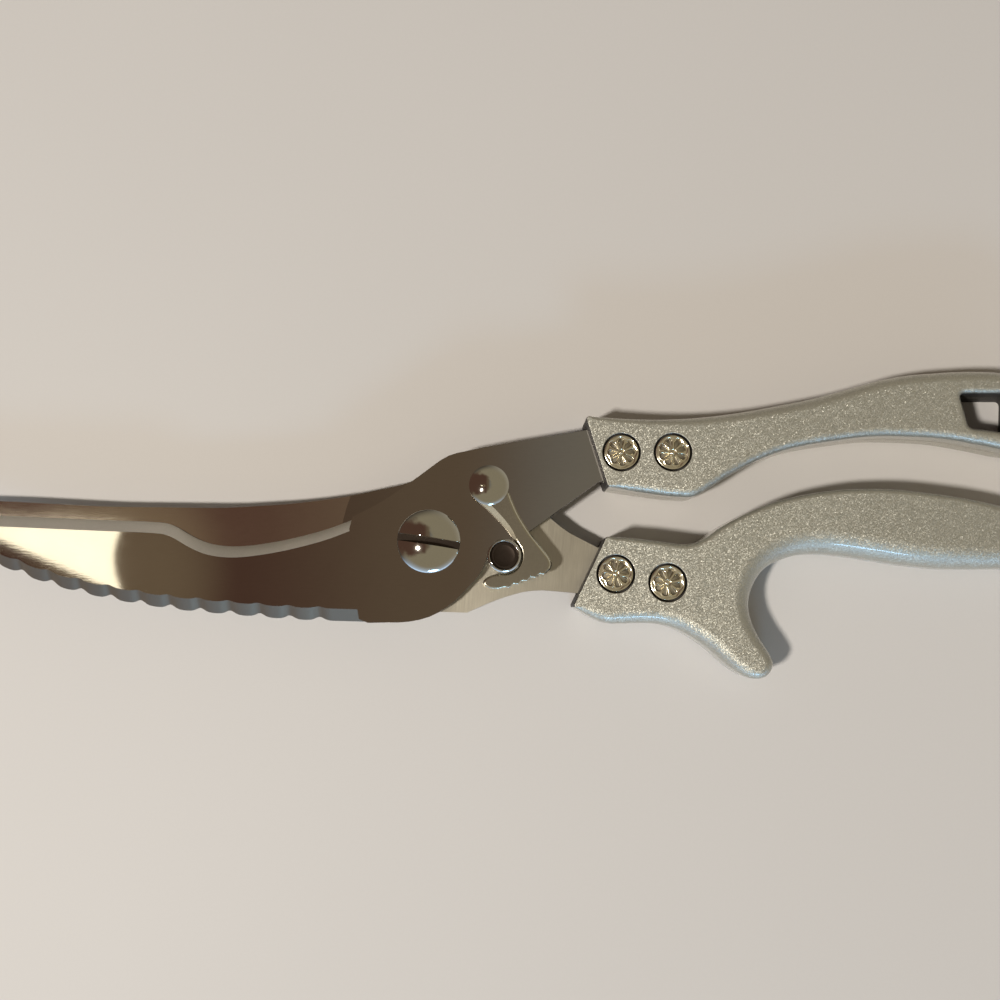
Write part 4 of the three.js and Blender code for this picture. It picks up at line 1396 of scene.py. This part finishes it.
@dataclass
class Pivot:
    """Screw, nut, washer and return spring on the pivot axis. Millimetres."""

    shank_r: float = 3.6
    shank_chamfer: float = 0.3
    head_r: float = 6.6
    seat: float = 9.7
    rim_h: float = 0.8
    dome_h: float = 2.2
    dome_steps: int = 20
    rim_edge: float = 0.22
    slot_w: float = 1.6
    slot_depth: float = 2.3
    slot_deg: float = -8.8
    slot_over: float = 1.0
    slot_edge: float = 0.06
    slot_margin: float = 0.02
    slot_below_rim: float = 0.2
    head_sharp_deg: float = 30.0
    plate_edge: float = 0.18
    plate_sharp_deg: float = 28.0
    wire: float = 1.4
    wire_points: int = 321
    wire_sides: int = 16
    wire_sharp_deg: float = 50.0
    spring_in_r: float = 5.0
    spring_pitch: float = 1.9
    spring_turns: float = 1.9
    spring_leg: float = 2.0
    spring_bend: float = 0.9
    spring_start: float = 100.0
    parting: float = 6.5
    spring_shear: Pair = (5.8, 5.3)

    def screw(self) -> bpy.types.Object:
        """Domed screw with its slot.

        Returns:
            The screw.
        """
        low = self.seat + self.rim_h
        profile = [(0.0, 0.0), (self.shank_r - self.shank_chamfer, 0.0)]
        profile += [(self.shank_r, self.shank_chamfer), (self.shank_r, self.seat)]
        profile += [(self.head_r - self.rim_edge, self.seat), (self.head_r, self.seat + self.rim_edge)]
        profile += ball_cap(self.head_r, low, self.dome_h, self.dome_steps)
        screw = turned("pivot_screw_domed", profile)
        reach, half = 2 * self.head_r, self.slot_w / 2
        corners = np.array([(-reach, -half), (reach, -half), (reach, half), (-reach, half)])
        angle = math.radians(self.slot_deg)
        spin = np.array([(math.cos(angle), -math.sin(angle)), (math.sin(angle), math.cos(angle))])
        plan = corners @ spin.T
        top = low + self.dome_h
        ends = (top - self.slot_depth, top + self.slot_over)
        levels = [np.full((len(plan), 1), level) for level in ends]
        cut(screw, [stacked("screw_slot", [np.hstack([plan, level]) for level in levels])])
        soften(screw, self.slot_edge, self.head_sharp_deg)
        # Painted shade: the slot's faces take the near black finish.
        for face in screw.data.polygons:
            across = (face.center.y * math.cos(angle) - face.center.x * math.sin(angle)) / MM
            high = face.center.z > (low - self.slot_below_rim) * MM
            inside = abs(across) < half - self.slot_margin and high
            face.material_index = HeadZone.STAINED if inside else HeadZone.BRIGHT
        return screw

    def spring_path(self) -> np.ndarray:
        """Middle line of the spring's wire: leg up, flat coil, leg down.

        Returns:
            Points, one a row.
        """
        out_r = self.spring_in_r + self.spring_pitch * self.spring_turns
        sweep = self.spring_turns * 2 * math.pi
        straight = self.spring_leg - self.spring_bend
        bend_run = math.pi / 2 * self.spring_bend
        coil = self.spring_turns * math.pi * (self.spring_in_r + out_r)
        total = 2 * (straight + bend_run) + coil
        rate = (sweep - self.spring_bend / self.spring_in_r - self.spring_bend / out_r) / coil
        points = []
        for along in np.linspace(0, total, self.wire_points):
            near = min(along, total - along)
            first = along <= total / 2
            bend = min(max((near - straight) / self.spring_bend, 0.0), math.pi / 2)
            rise = max(0.0, straight - near) + self.spring_bend * (1 - math.sin(bend))
            onward = self.spring_bend * (1 - math.cos(bend)) / (self.spring_in_r if first else out_r)
            turn = onward + max(0.0, near - straight - bend_run) * rate
            swept = turn if first else sweep - turn
            radius = self.spring_in_r + self.spring_pitch * swept / (2 * math.pi)
            angle = math.radians(self.spring_start) + swept
            level = self.parting + (rise if first else -rise)
            points.append((radius * math.cos(angle), radius * math.sin(angle), level))
        return np.array(points)

    def spring(self) -> bpy.types.Object:
        """Spring wire swept along its path.

        Returns:
            The spring.
        """
        path = self.spring_path()
        piece = make_piece("return_spring_wire", path, [])
        piece.data.clear_geometry()
        piece.data.from_pydata((path * MM).tolist(), [(k, k + 1) for k in range(len(path) - 1)], [])
        inputs = {"Radius": "NodeSocketFloat", "Finish": "NodeSocketMaterial"}
        sheet, (middle, radius, finish) = new_tree("wire_on_path", inputs)
        line = sheet.value("GeometryNodeMeshToCurve", None, {"Mesh": middle})
        sockets = {"Resolution": self.wire_sides, "Radius": radius}
        ring = sheet.value("GeometryNodeCurvePrimitiveCircle", None, sockets)
        sockets = {"Curve": line, "Profile Curve": ring, "Fill Caps": True}
        swept = sheet.value("GeometryNodeCurveToMesh", None, sockets)
        tree = end_tree(sheet, swept, finish)
        run_tree(piece, tree, {"Radius": self.wire / 2 * MM, "Finish": FINISHES.get(SPRING_WIRE)})
        turn_outwards(piece.data)
        return soften(piece, angle=self.wire_sharp_deg)

    def build(self) -> None:
        """Makes the pieces and puts them on their bodies."""
        join_part(coat(self.screw(), POLISHED, SHADED_HOLLOW), Body.FRONT, Slot.BRIGHT, "pivot_screw")
        for node in ("pivot_nut", "pivot_washer"):
            piece = cad_copy(node, f"{node}_plated")
            soften(piece, self.plate_edge, self.plate_sharp_deg)
            join_part(coat(piece, ZINC), Body.FRONT, Slot.BRIGHT, node)
        spring = coat(self.spring(), SPRING_WIRE)
        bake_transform(spring)
        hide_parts("return_spring")
        log.info("%s: %d faces across the pivot", spring.name, len(spring.data.polygons))


class PlateZone(IntEnum):
    """Parts of the latch plate's surface, in the order of its finishes."""

    FACE = 0
    FILED = 1
    ROLLED = 2


@dataclass
class Latch:
    """Hook plate, its rivet and the stud it holds. Millimetres."""

    low: float = 9.85
    high: float = 11.85
    hinge: Pair = (12.6, 11.6)
    end_r: float = 3.9
    end_deg: Pair = (-10.0, 232.0)
    stud: Pair = (15.74, -3.12)
    hook_r: float = 3.75
    hook_deg: Pair = (42.0, -90.0)
    throat: Sequence[Triple] = (
        (10.6, 8.15, 1.1), (13.9, 5.0, 1.1), (16.7, 1.9, 0.85), (18.1, -0.2, 0.5),
    )
    beak: Sequence[Pair] = (
        (13.9, -6.95), (12.4, -7.5), (11.4, -8.4), (11.6, -9.2), (12.6, -9.8), (14.4, -10.05),
    )
    back: Sequence[Pair] = (
        (25.3, -6.1), (25.7, -5.0), (25.4, -3.8), (23.4, -1.1), (21.0, 2.0), (18.7, 5.8), (17.3, 9.0),
    )
    thumb: Sequence[Pair] = ((15.9, -9.9), (24.9, -6.5))
    rib_pitch: float = 1.95
    rib_h: float = 0.45
    rib_steps: int = 14
    edge_round: float = 0.45
    back_round: float = 0.85
    throat_slope: float = 0.62
    under_round: float = 0.15
    under_steps: int = 4
    round_steps: int = 8
    rim_rows: tuple[int, int] = (6, 9)
    step: float = 0.22
    hole_r: float = 2.36
    hole_segments: int = 64
    sharp_deg: float = 30.0
    rivet_r: float = 4.15
    rivet_room: float = 0.05
    rivet_edge: float = 0.12
    rivet_rim: float = 0.3
    rivet_dome: float = 1.4
    rivet_dome_steps: int = 16
    rivet_shank_r: float = 2.3
    rivet_flare: float = 0.8
    rivet_low: float = 6.7
    stud_low: float = 3.4
    stud_tail_r: float = 2.35
    stud_foot: float = 6.4
    stud_body_r: float = 3.1
    stud_body_top: float = 9.65
    stud_waist_r: float = 2.2
    stud_head_low: float = 12.05
    stud_head_r: float = 3.5
    stud_head_h: float = 1.0
    stud_dish_r: float = 2.95
    stud_floor_r: float = 2.55
    stud_dish_depth: float = 1.3
    stud_dish_steps: int = 8
    stud_dish_start: float = 0.15
    stud_dimple: Sequence[Pair] = ((1.1, 0.02), (0.0, 0.06))
    stud_cone: float = 0.22
    stud_cone_deg: float = 62.0
    stud_chamfer: float = 0.15
    stud_edge: float = 0.2
    stud_lip: float = 0.14
    stud_margin: float = 0.02
    stud_below_floor: float = 0.1
    stud_segments: int = 72
    stud_sharp_deg: float = 35.0

    def ribs(self) -> np.ndarray:
        """Ribbed thumb edge.

        Returns:
            Points, one a row.
        """
        first, last = np.array(self.thumb, float)
        length = np.linalg.norm(last - first)
        out = np.array([last[1] - first[1], first[0] - last[0]]) / length
        count = round(length / self.rib_pitch)
        share = np.linspace(0, 1, count * self.rib_steps + 1)
        wave = -np.cos(share * count * 2 * math.pi) / 2
        return first + share[:, None] * (last - first) + (self.rib_h * wave)[:, None] * out

    def plate(self) -> bpy.types.Object:
        """Hook plate with rolled edges.

        Returns:
            The plate.
        """
        throat = smooth_run(self.throat, self.step)
        runs = [
            (arc(self.hinge, self.end_r, self.end_deg, self.step), self.edge_round, 0.0, 0.0),
            (throat[:, :2], throat[:, 2], 1.0, 0.0),
            (arc(self.stud, self.hook_r, self.hook_deg, self.step), self.edge_round, 0.0, 0.0),
            (smooth_run(self.beak, self.step), self.edge_round, 0.0, 0.0),
            (self.ribs(), self.edge_round, 0.0, 0.0),
            (smooth_run(self.back, self.step), self.back_round, 0.0, 1.0),
        ]
        marked = []
        for run, *marks in runs:
            marked.append(np.column_stack([run, *(np.ones(len(run)) * mark for mark in marks)]))
        marked = np.vstack(marked)
        closed = even(np.vstack([marked, marked[:1]]), self.step)[:-1]
        for _ in range(EASE_PASSES):
            edges = closed[:, 2:]
            closed[:, 2:] = (np.roll(edges, 1, axis=0) + edges + np.roll(edges, -1, axis=0)) / 3
        eased = (np.roll(closed, 1, axis=0) + 2 * closed + np.roll(closed, -1, axis=0)) / 4
        outline = eased[:, :2]
        rounding = rounding_room(outline, eased[:, 2])
        into = inward(outline)
        under = np.minimum(rounding, self.under_round)
        rows = []
        for turn in np.linspace(math.pi / 2, 0, self.under_steps):
            inset = (under * (1 - math.cos(turn)))[:, None]
            level = (self.low + under * (1 - math.sin(turn)))[:, None]
            rows.append(np.hstack([outline + inset * into, level]))
        flat = eased[:, 3]
        for share in np.linspace(0, 1, self.round_steps + 1):
            turn = share * math.pi / 2
            inset = rounding * ((1 - flat) * (1 - math.cos(turn)) + flat * share)
            fall = flat * self.throat_slope * (1 - share)
            drop = rounding * ((1 - flat) * (1 - math.sin(turn)) + fall)
            rows.append(np.hstack([outline + inset[:, None] * into, (self.high - drop)[:, None]]))
        plate = stacked("latch_hook", rows)
        # Painted highlight: the steep rows of the back edge take the bright rim finish.
        rim = eased[:, 4]
        for row in range(self.under_steps, len(rows) - 1):
            steep = self.rim_rows[0] <= row <= self.rim_rows[1]
            for k in range(len(outline)):
                zone = PlateZone.ROLLED if steep and rim[k] > 0.5 else PlateZone.FACE
                zone = PlateZone.FILED if flat[k] > 0.5 else zone
                plate.data.polygons[2 + row * len(outline) + k].material_index = zone
        levels = ((0.0, 0.0), (self.hole_r, 0.0), (self.hole_r, 2 * self.high), (0.0, 2 * self.high))
        cut(plate, [turned("latch_hole", levels, self.hinge, self.hole_segments)])
        return soften(plate, angle=self.sharp_deg)

    def rivet(self) -> bpy.types.Object:
        """Domed rivet that the plate swings on.

        Returns:
            The rivet.
        """
        seat = self.high + self.rivet_room
        profile = [(0.0, self.rivet_low), (self.rivet_shank_r + self.rivet_flare, self.rivet_low)]
        profile += [(self.rivet_shank_r, self.rivet_low + self.rivet_flare), (self.rivet_shank_r, seat)]
        profile += [(self.rivet_r - self.rivet_edge, seat), (self.rivet_r, seat + self.rivet_edge)]
        low = seat + self.rivet_rim
        profile += ball_cap(self.rivet_r, low, self.rivet_dome, self.rivet_dome_steps)
        return soften(turned("latch_rivet_domed", profile, self.hinge), angle=self.sharp_deg)

    def stud_pin(self) -> bpy.types.Object:
        """Stud with a hollow head and a waist for the hook.

        Returns:
            The stud.
        """
        top = self.stud_head_low + self.stud_head_h
        edge, lip, chamfer = self.stud_edge, self.stud_lip, self.stud_chamfer
        profile = [(0.0, self.stud_low), (self.stud_tail_r - chamfer, self.stud_low)]
        profile += [(self.stud_tail_r, self.stud_low + chamfer), (self.stud_tail_r, self.stud_foot)]
        profile += [(self.stud_body_r, self.stud_foot), (self.stud_body_r, self.stud_body_top)]
        profile += [(self.stud_waist_r, self.stud_body_top), (self.stud_waist_r, self.stud_head_low)]
        profile.append((self.stud_head_r - chamfer, self.stud_head_low))
        profile.append((self.stud_head_r, self.stud_head_low + chamfer))
        corner = (self.stud_head_r - edge, top - self.stud_cone - edge)
        profile += quarter(corner, edge, (0, self.stud_cone_deg), 4)
        corner = (self.stud_dish_r + lip, top - lip)
        profile += quarter(corner, lip, (self.stud_cone_deg, 180), 6)
        floor = top - self.stud_dish_depth
        for share in np.linspace(self.stud_dish_start, 1, self.stud_dish_steps):
            turn = share * math.pi / 2
            radius = self.stud_floor_r + (self.stud_dish_r - self.stud_floor_r) * math.cos(turn)
            profile.append((radius, top - lip - (self.stud_dish_depth - lip) * math.sin(turn)))
        profile += [(radius, floor - drop) for radius, drop in self.stud_dimple]
        stud = turned("catch_stud_hollow", profile, self.stud, self.stud_segments)
        soften(stud, angle=self.stud_sharp_deg)
        # Painted shade: the hollow's faces take the near black finish.
        for face in stud.data.polygons:
            away = math.hypot(face.center.x / MM - self.stud[0], face.center.y / MM - self.stud[1])
            level = face.center.z / MM
            hollow = away < self.stud_dish_r - self.stud_margin
            hollow = hollow and floor - self.stud_below_floor < level < top - lip
            face.material_index = HeadZone.STAINED if hollow else HeadZone.BRIGHT
        return stud

    def build(self) -> None:
        """Makes the pieces and puts them on their bodies."""
        plate = coat(self.plate(), LATCH_STEEL, FILED_STEEL, ROLLED_EDGE_HIGHLIGHT)
        join_part(plate, Body.LATCH, Slot.LATCH, "latch")
        join_part(coat(self.rivet(), POLISHED), Body.FRONT, Slot.BRIGHT, "latch_rivet")
        join_part(coat(self.stud_pin(), POLISHED, SHADED_HOLLOW), Body.REAR, Slot.BRIGHT, "catch_stud")


@dataclass(frozen=True)
class Lamp:
    """A soft lamp. Metres and watts."""

    name: str
    place: Triple
    aim: Triple
    size: Pair
    watts: float
    colour: Triple

    def build(self) -> None:
        """Hangs the lamp."""
        data = bpy.data.lights.new(self.name, "AREA")
        data.shape = "ELLIPSE"
        data.size, data.size_y = self.size
        data.energy = self.watts
        data.color = self.colour
        lamp = bpy.data.objects.new(self.name, data)
        bpy.context.scene.collection.objects.link(lamp)
        aim = Vector(self.aim) - Vector(self.place)
        facing = aim.to_track_quat("-Z", "Y").to_matrix().to_4x4()
        lamp.matrix_world = Matrix.Translation(self.place) @ facing


@dataclass
class Studio:
    """Table top, lamps, room light and camera. Metres."""

    floor_size: float = 60.0
    lamps: Sequence[Lamp] = (
        Lamp("key", (-0.65, -0.33, 1.3), (0.01, 0.0, 0.01), (0.14, 0.14), 18.0, (1.0, 0.945, 0.86)),
        Lamp("window", (0.13, -1.08, 0.42), (0.05, 0.0, 0.0), (0.42, 0.14), 2.8, (0.36, 0.68, 1.0)),
    )
    card: Sequence[Pair] = (
        (-404.0, 53.7), (-275.5, 48.3), (-279.5, 38.0), (-281.5, 26.0),
        (-279.5, 12.0), (-274.0, -3.0), (-282.0, 0.0),
    )
    card_height: float = 700.0
    card_colour: Triple = (1.0, 0.93, 0.74)
    card_glow: float = 2.4
    card_swing: float = 0.15
    card_clouds: float = 30.0
    layers: float = 2.0
    high: Triple = (0.27, 0.235, 0.17)
    cool: Triple = (0.76, 1.03, 1.48)
    dim: Triple = (0.07, 0.058, 0.048)
    mild: Triple = (0.38, 0.35, 0.30)
    dark: Triple = (0.092, 0.05, 0.036)
    brown: Triple = (0.14, 0.103, 0.07)
    grey: Triple = (0.185, 0.176, 0.158)
    olive: Triple = (0.19, 0.14, 0.09)
    dark_patch: tuple[Pair, Pair] = ((-0.5, 0.13), (0.64, 0.6))
    olive_patch: tuple[Pair, Pair] = ((-0.285, 0.025), (0.08, 0.1))
    mild_rise: Pair = (-0.3, 0.8)
    cool_rise: Pair = (0.35, 0.95)
    high_rise: Pair = (0.15, 0.56)
    overhead_rise: Pair = (0.0, 0.3)
    dark_rim: Pair = (0.6, 1.2)
    brown_rise: Pair = (-0.22, -0.06)
    grey_rise: Pair = (-0.04, 0.07)
    olive_rim: Pair = (0.05, 1.0)
    ragged_scale: float = 4.0
    camera_place: Triple = (0.014894, -0.013969, 0.268661)
    camera_tilt: float = 5.0
    focal: float = 44.57
    sensor: float = 36.0
    clip_start: float = 0.01

    def floor(self) -> None:
        """Lays the table top."""
        half = self.floor_size / 2 / MM
        corners = [(-half, -half, 0.0), (half, -half, 0.0), (half, half, 0.0), (-half, half, 0.0)]
        floor = make_piece("table", np.array(corners), [range(len(corners))])
        coat(floor, TABLE)

    def reflector(self) -> None:
        """Hangs the warm card that the blade mirrors."""
        corners = np.hstack([np.array(self.card), np.full((len(self.card), 1), self.card_height)])
        card = make_piece("reflector_card", corners, [range(len(corners))])
        material, sheet = new_sheet("warm_card")
        fade = sheet.noise(sheet.place((self.card_clouds,) * 3), self.layers)
        dark = [c * (1 - self.card_swing) for c in self.card_colour]
        glow = sheet.mix(fade, dark, self.card_colour)
        fixed = {"Base Color": (0, 0, 0, 1), "Emission Strength": self.card_glow}
        close_sheet(sheet, fixed, {"Emission Color": glow})
        card.data.materials.append(material)
        card.visible_camera = False
        card.visible_shadow = False

    def room(self) -> None:
        """Lights the room: pale walls, with a dark patch overhead."""
        world = bpy.data.worlds.new("room")
        world.use_nodes = True
        bpy.context.scene.world = world
        sheet = NodeSheet(world.node_tree)
        towards = sheet.value("ShaderNodeTexCoord", output="Generated")
        split = sheet.node("ShaderNodeSeparateXYZ", None, {"Vector": towards})
        x, y, z = (Value(sheet, socket) for socket in split.outputs)
        side = sheet.mix(x.ramp(*self.mild_rise), self.dim, self.mild)
        low = sheet.mix((0.0 - y).ramp(*self.cool_rise), side, self.cool)
        wall = sheet.mix(z.ramp(*self.high_rise), low, self.high)
        away = []
        for middle, reach in (self.dark_patch, self.olive_patch):
            across = (x - middle[0]) / reach[0]
            along = (y - middle[1]) / reach[1]
            away.append(across * across + along * along)
        stretched = sheet.vector("SCALE", towards, scale=self.ragged_scale)
        ragged = sheet.noise(stretched, self.layers) - 0.5
        outside = (away[0] + ragged).ramp(*self.dark_rim)
        clear = 1 - z.ramp(*self.overhead_rise) * (1 - outside)
        shade = sheet.mix(x.ramp(*self.brown_rise), self.dark, self.brown)
        shade = sheet.mix(x.ramp(*self.grey_rise), shade, self.grey)
        shade = sheet.mix(away[1].ramp(*self.olive_rim), self.olive, shade)
        colour = sheet.mix(clear, shade, wall)
        glow = sheet.node("ShaderNodeBackground", None, {"Color": colour, "Strength": 1.0})
        output = sheet.node("ShaderNodeOutputWorld")
        sheet.tree.links.new(glow.outputs[0], output.inputs["Surface"])

    def camera(self) -> None:
        """Sets up the camera at the photograph's place."""
        data = bpy.data.cameras.new("camera")
        data.lens = self.focal
        data.sensor_width = self.sensor
        data.clip_start = self.clip_start
        camera = bpy.data.objects.new("camera", data)
        camera.location = self.camera_place
        camera.rotation_euler = (math.radians(self.camera_tilt), 0.0, 0.0)
        bpy.context.scene.collection.objects.link(camera)
        bpy.context.scene.camera = camera

    def build(self) -> None:
        """Sets the stage."""
        self.floor()
        self.reflector()
        for lamp in self.lamps:
            lamp.build()
        self.room()
        self.camera()
        bpy.context.scene.view_settings.view_transform = "Standard"


UPPER_MARKS = (
    (37.2, 11.3, 1), (44.5, 10.1, 1.7), (52, 9.2, 1.7), (55.3, 9.3, 1.7), (59, 11.3, 1.7),
    (62.5, 13.5, 1.7), (69.3, 17.1, 1.7), (76, 19.4, 1.7), (85, 21, 1.7), (93, 21.9, 1.7),
    (99.2, 21.9, 1.7), (107.5, 21.4, 1.8), (115.7, 20, 1.9), (123.3, 18.5, 2), (126.8, 18.6, 2.2),
    (129.5, 21.4, 2.4), (130.4, 26, 2.5), (129, 30.8, 2.5), (125.4, 34, 2.5), (120.3, 35.4, 2.4),
    (112.9, 35.7, 2.4), (106.8, 35.4, 2.4), (100.8, 34.9, 2.4), (94.7, 33.8, 2.4), (88.6, 32.1, 2.4),
    (80.5, 29.9, 2.4), (74.1, 28.6, 2.4), (65.5, 27, 2.2), (58, 26, 2), (51.7, 25.5, 1.6),
    (45.7, 25.4, 1.4), (37.7, 25.7, 1), (32.6, 26.1, 0.8),
)
LOWER_MARKS = (
    (29.9, -13.6, 1), (33.8, -15.8, 1.8), (36.9, -17, 2.4), (40, -17.1, 2.8), (44, -17, 3),
    (48.2, -17.3, 3.1), (52.5, -18.7, 3.1), (57.8, -22.1, 3.1), (63, -26.5, 2.7), (66.4, -28.3, 2.3),
    (69, -28.3, 2), (70.5, -27.2, 1.9), (71.2, -25.4, 1.9), (70.3, -23, 2.1), (68.4, -19.8, 2.5),
    (67, -16.4, 3), (66.6, -12.8, 3.4), (67.6, -9.3, 3.8), (69.9, -6, 4.2), (73.3, -4, 4.6),
    (77.6, -2.8, 4.8), (83.5, -2.7, 5), (92.7, -3.9, 5), (99.8, -5, 5), (106.9, -5.7, 5),
    (114, -5.8, 4.8), (121, -5.8, 4.2), (126.5, -6.6, 3.2), (130, -6, 2.2), (131.4, -3, 2),
    (130.2, 1, 2), (126.4, 4.6, 1.8), (119.3, 7.1, 1.4), (112, 8.7, 1.1), (104, 9.9, 1.1),
    (96, 10.7, 1.1), (88, 10.7, 1.1), (82.3, 10.2, 1.1), (73.7, 8.5, 1.1), (67.3, 6.2, 1.1),
    (60.9, 2.9, 1.1), (57.4, 0.5, 1.1), (55.2, -0.5, 1.1), (52.4, -0.7, 1.1), (47.3, -0.1, 1),
    (41.4, 0.6, 1), (36.8, 0.8, 0.8),
)
UPPER_TANG = (
    (57.25, 22.05), (33.2, 23.75), (21.2, 23.75), (23.8, 12.45), (35.8, 12.45), (57.25, 15.25),
)
LOWER_TANG = (
    (57.25, -5.25), (35.5, -0.85), (23.5, -0.85), (18.6, -10.95), (30.6, -10.95), (57.25, -14.55),
)
UPPER_TANG_LEVELS = (5.5, 9.9)
LOWER_TANG_LEVELS = (3.1, 7.5)
HANG_CORNERS = ((111.1, 30.9), (112.8, 23.6), (123.4, 22.2), (123.9, 30.9))


def main() -> None:
    """Builds the pieces in order, then the stage."""
    logging.basicConfig(level=logging.INFO, format="%(message)s")
    rivets = HandleRivets()
    upper = (UPPER_MARKS, rivets.upper, UPPER_TANG, UPPER_TANG_LEVELS)
    lower = (LOWER_MARKS, rivets.lower, LOWER_TANG, LOWER_TANG_LEVELS)
    Handle("upper", Body.FRONT, *upper, tang_in_front=True, slot_corners=HANG_CORNERS).build()
    Handle("lower", Body.REAR, *lower, tang_in_front=False).build()
    rivets.build()
    Blade("front_blade", Body.FRONT, BLADE_STEEL).build()
    Blade("rear_blade", Body.REAR, REAR_STEEL, heel_x=20.0, has_scaler=False).build()
    Pivot().build()
    Latch().build()
    Studio().build()


if __name__ == "__main__":
    main()
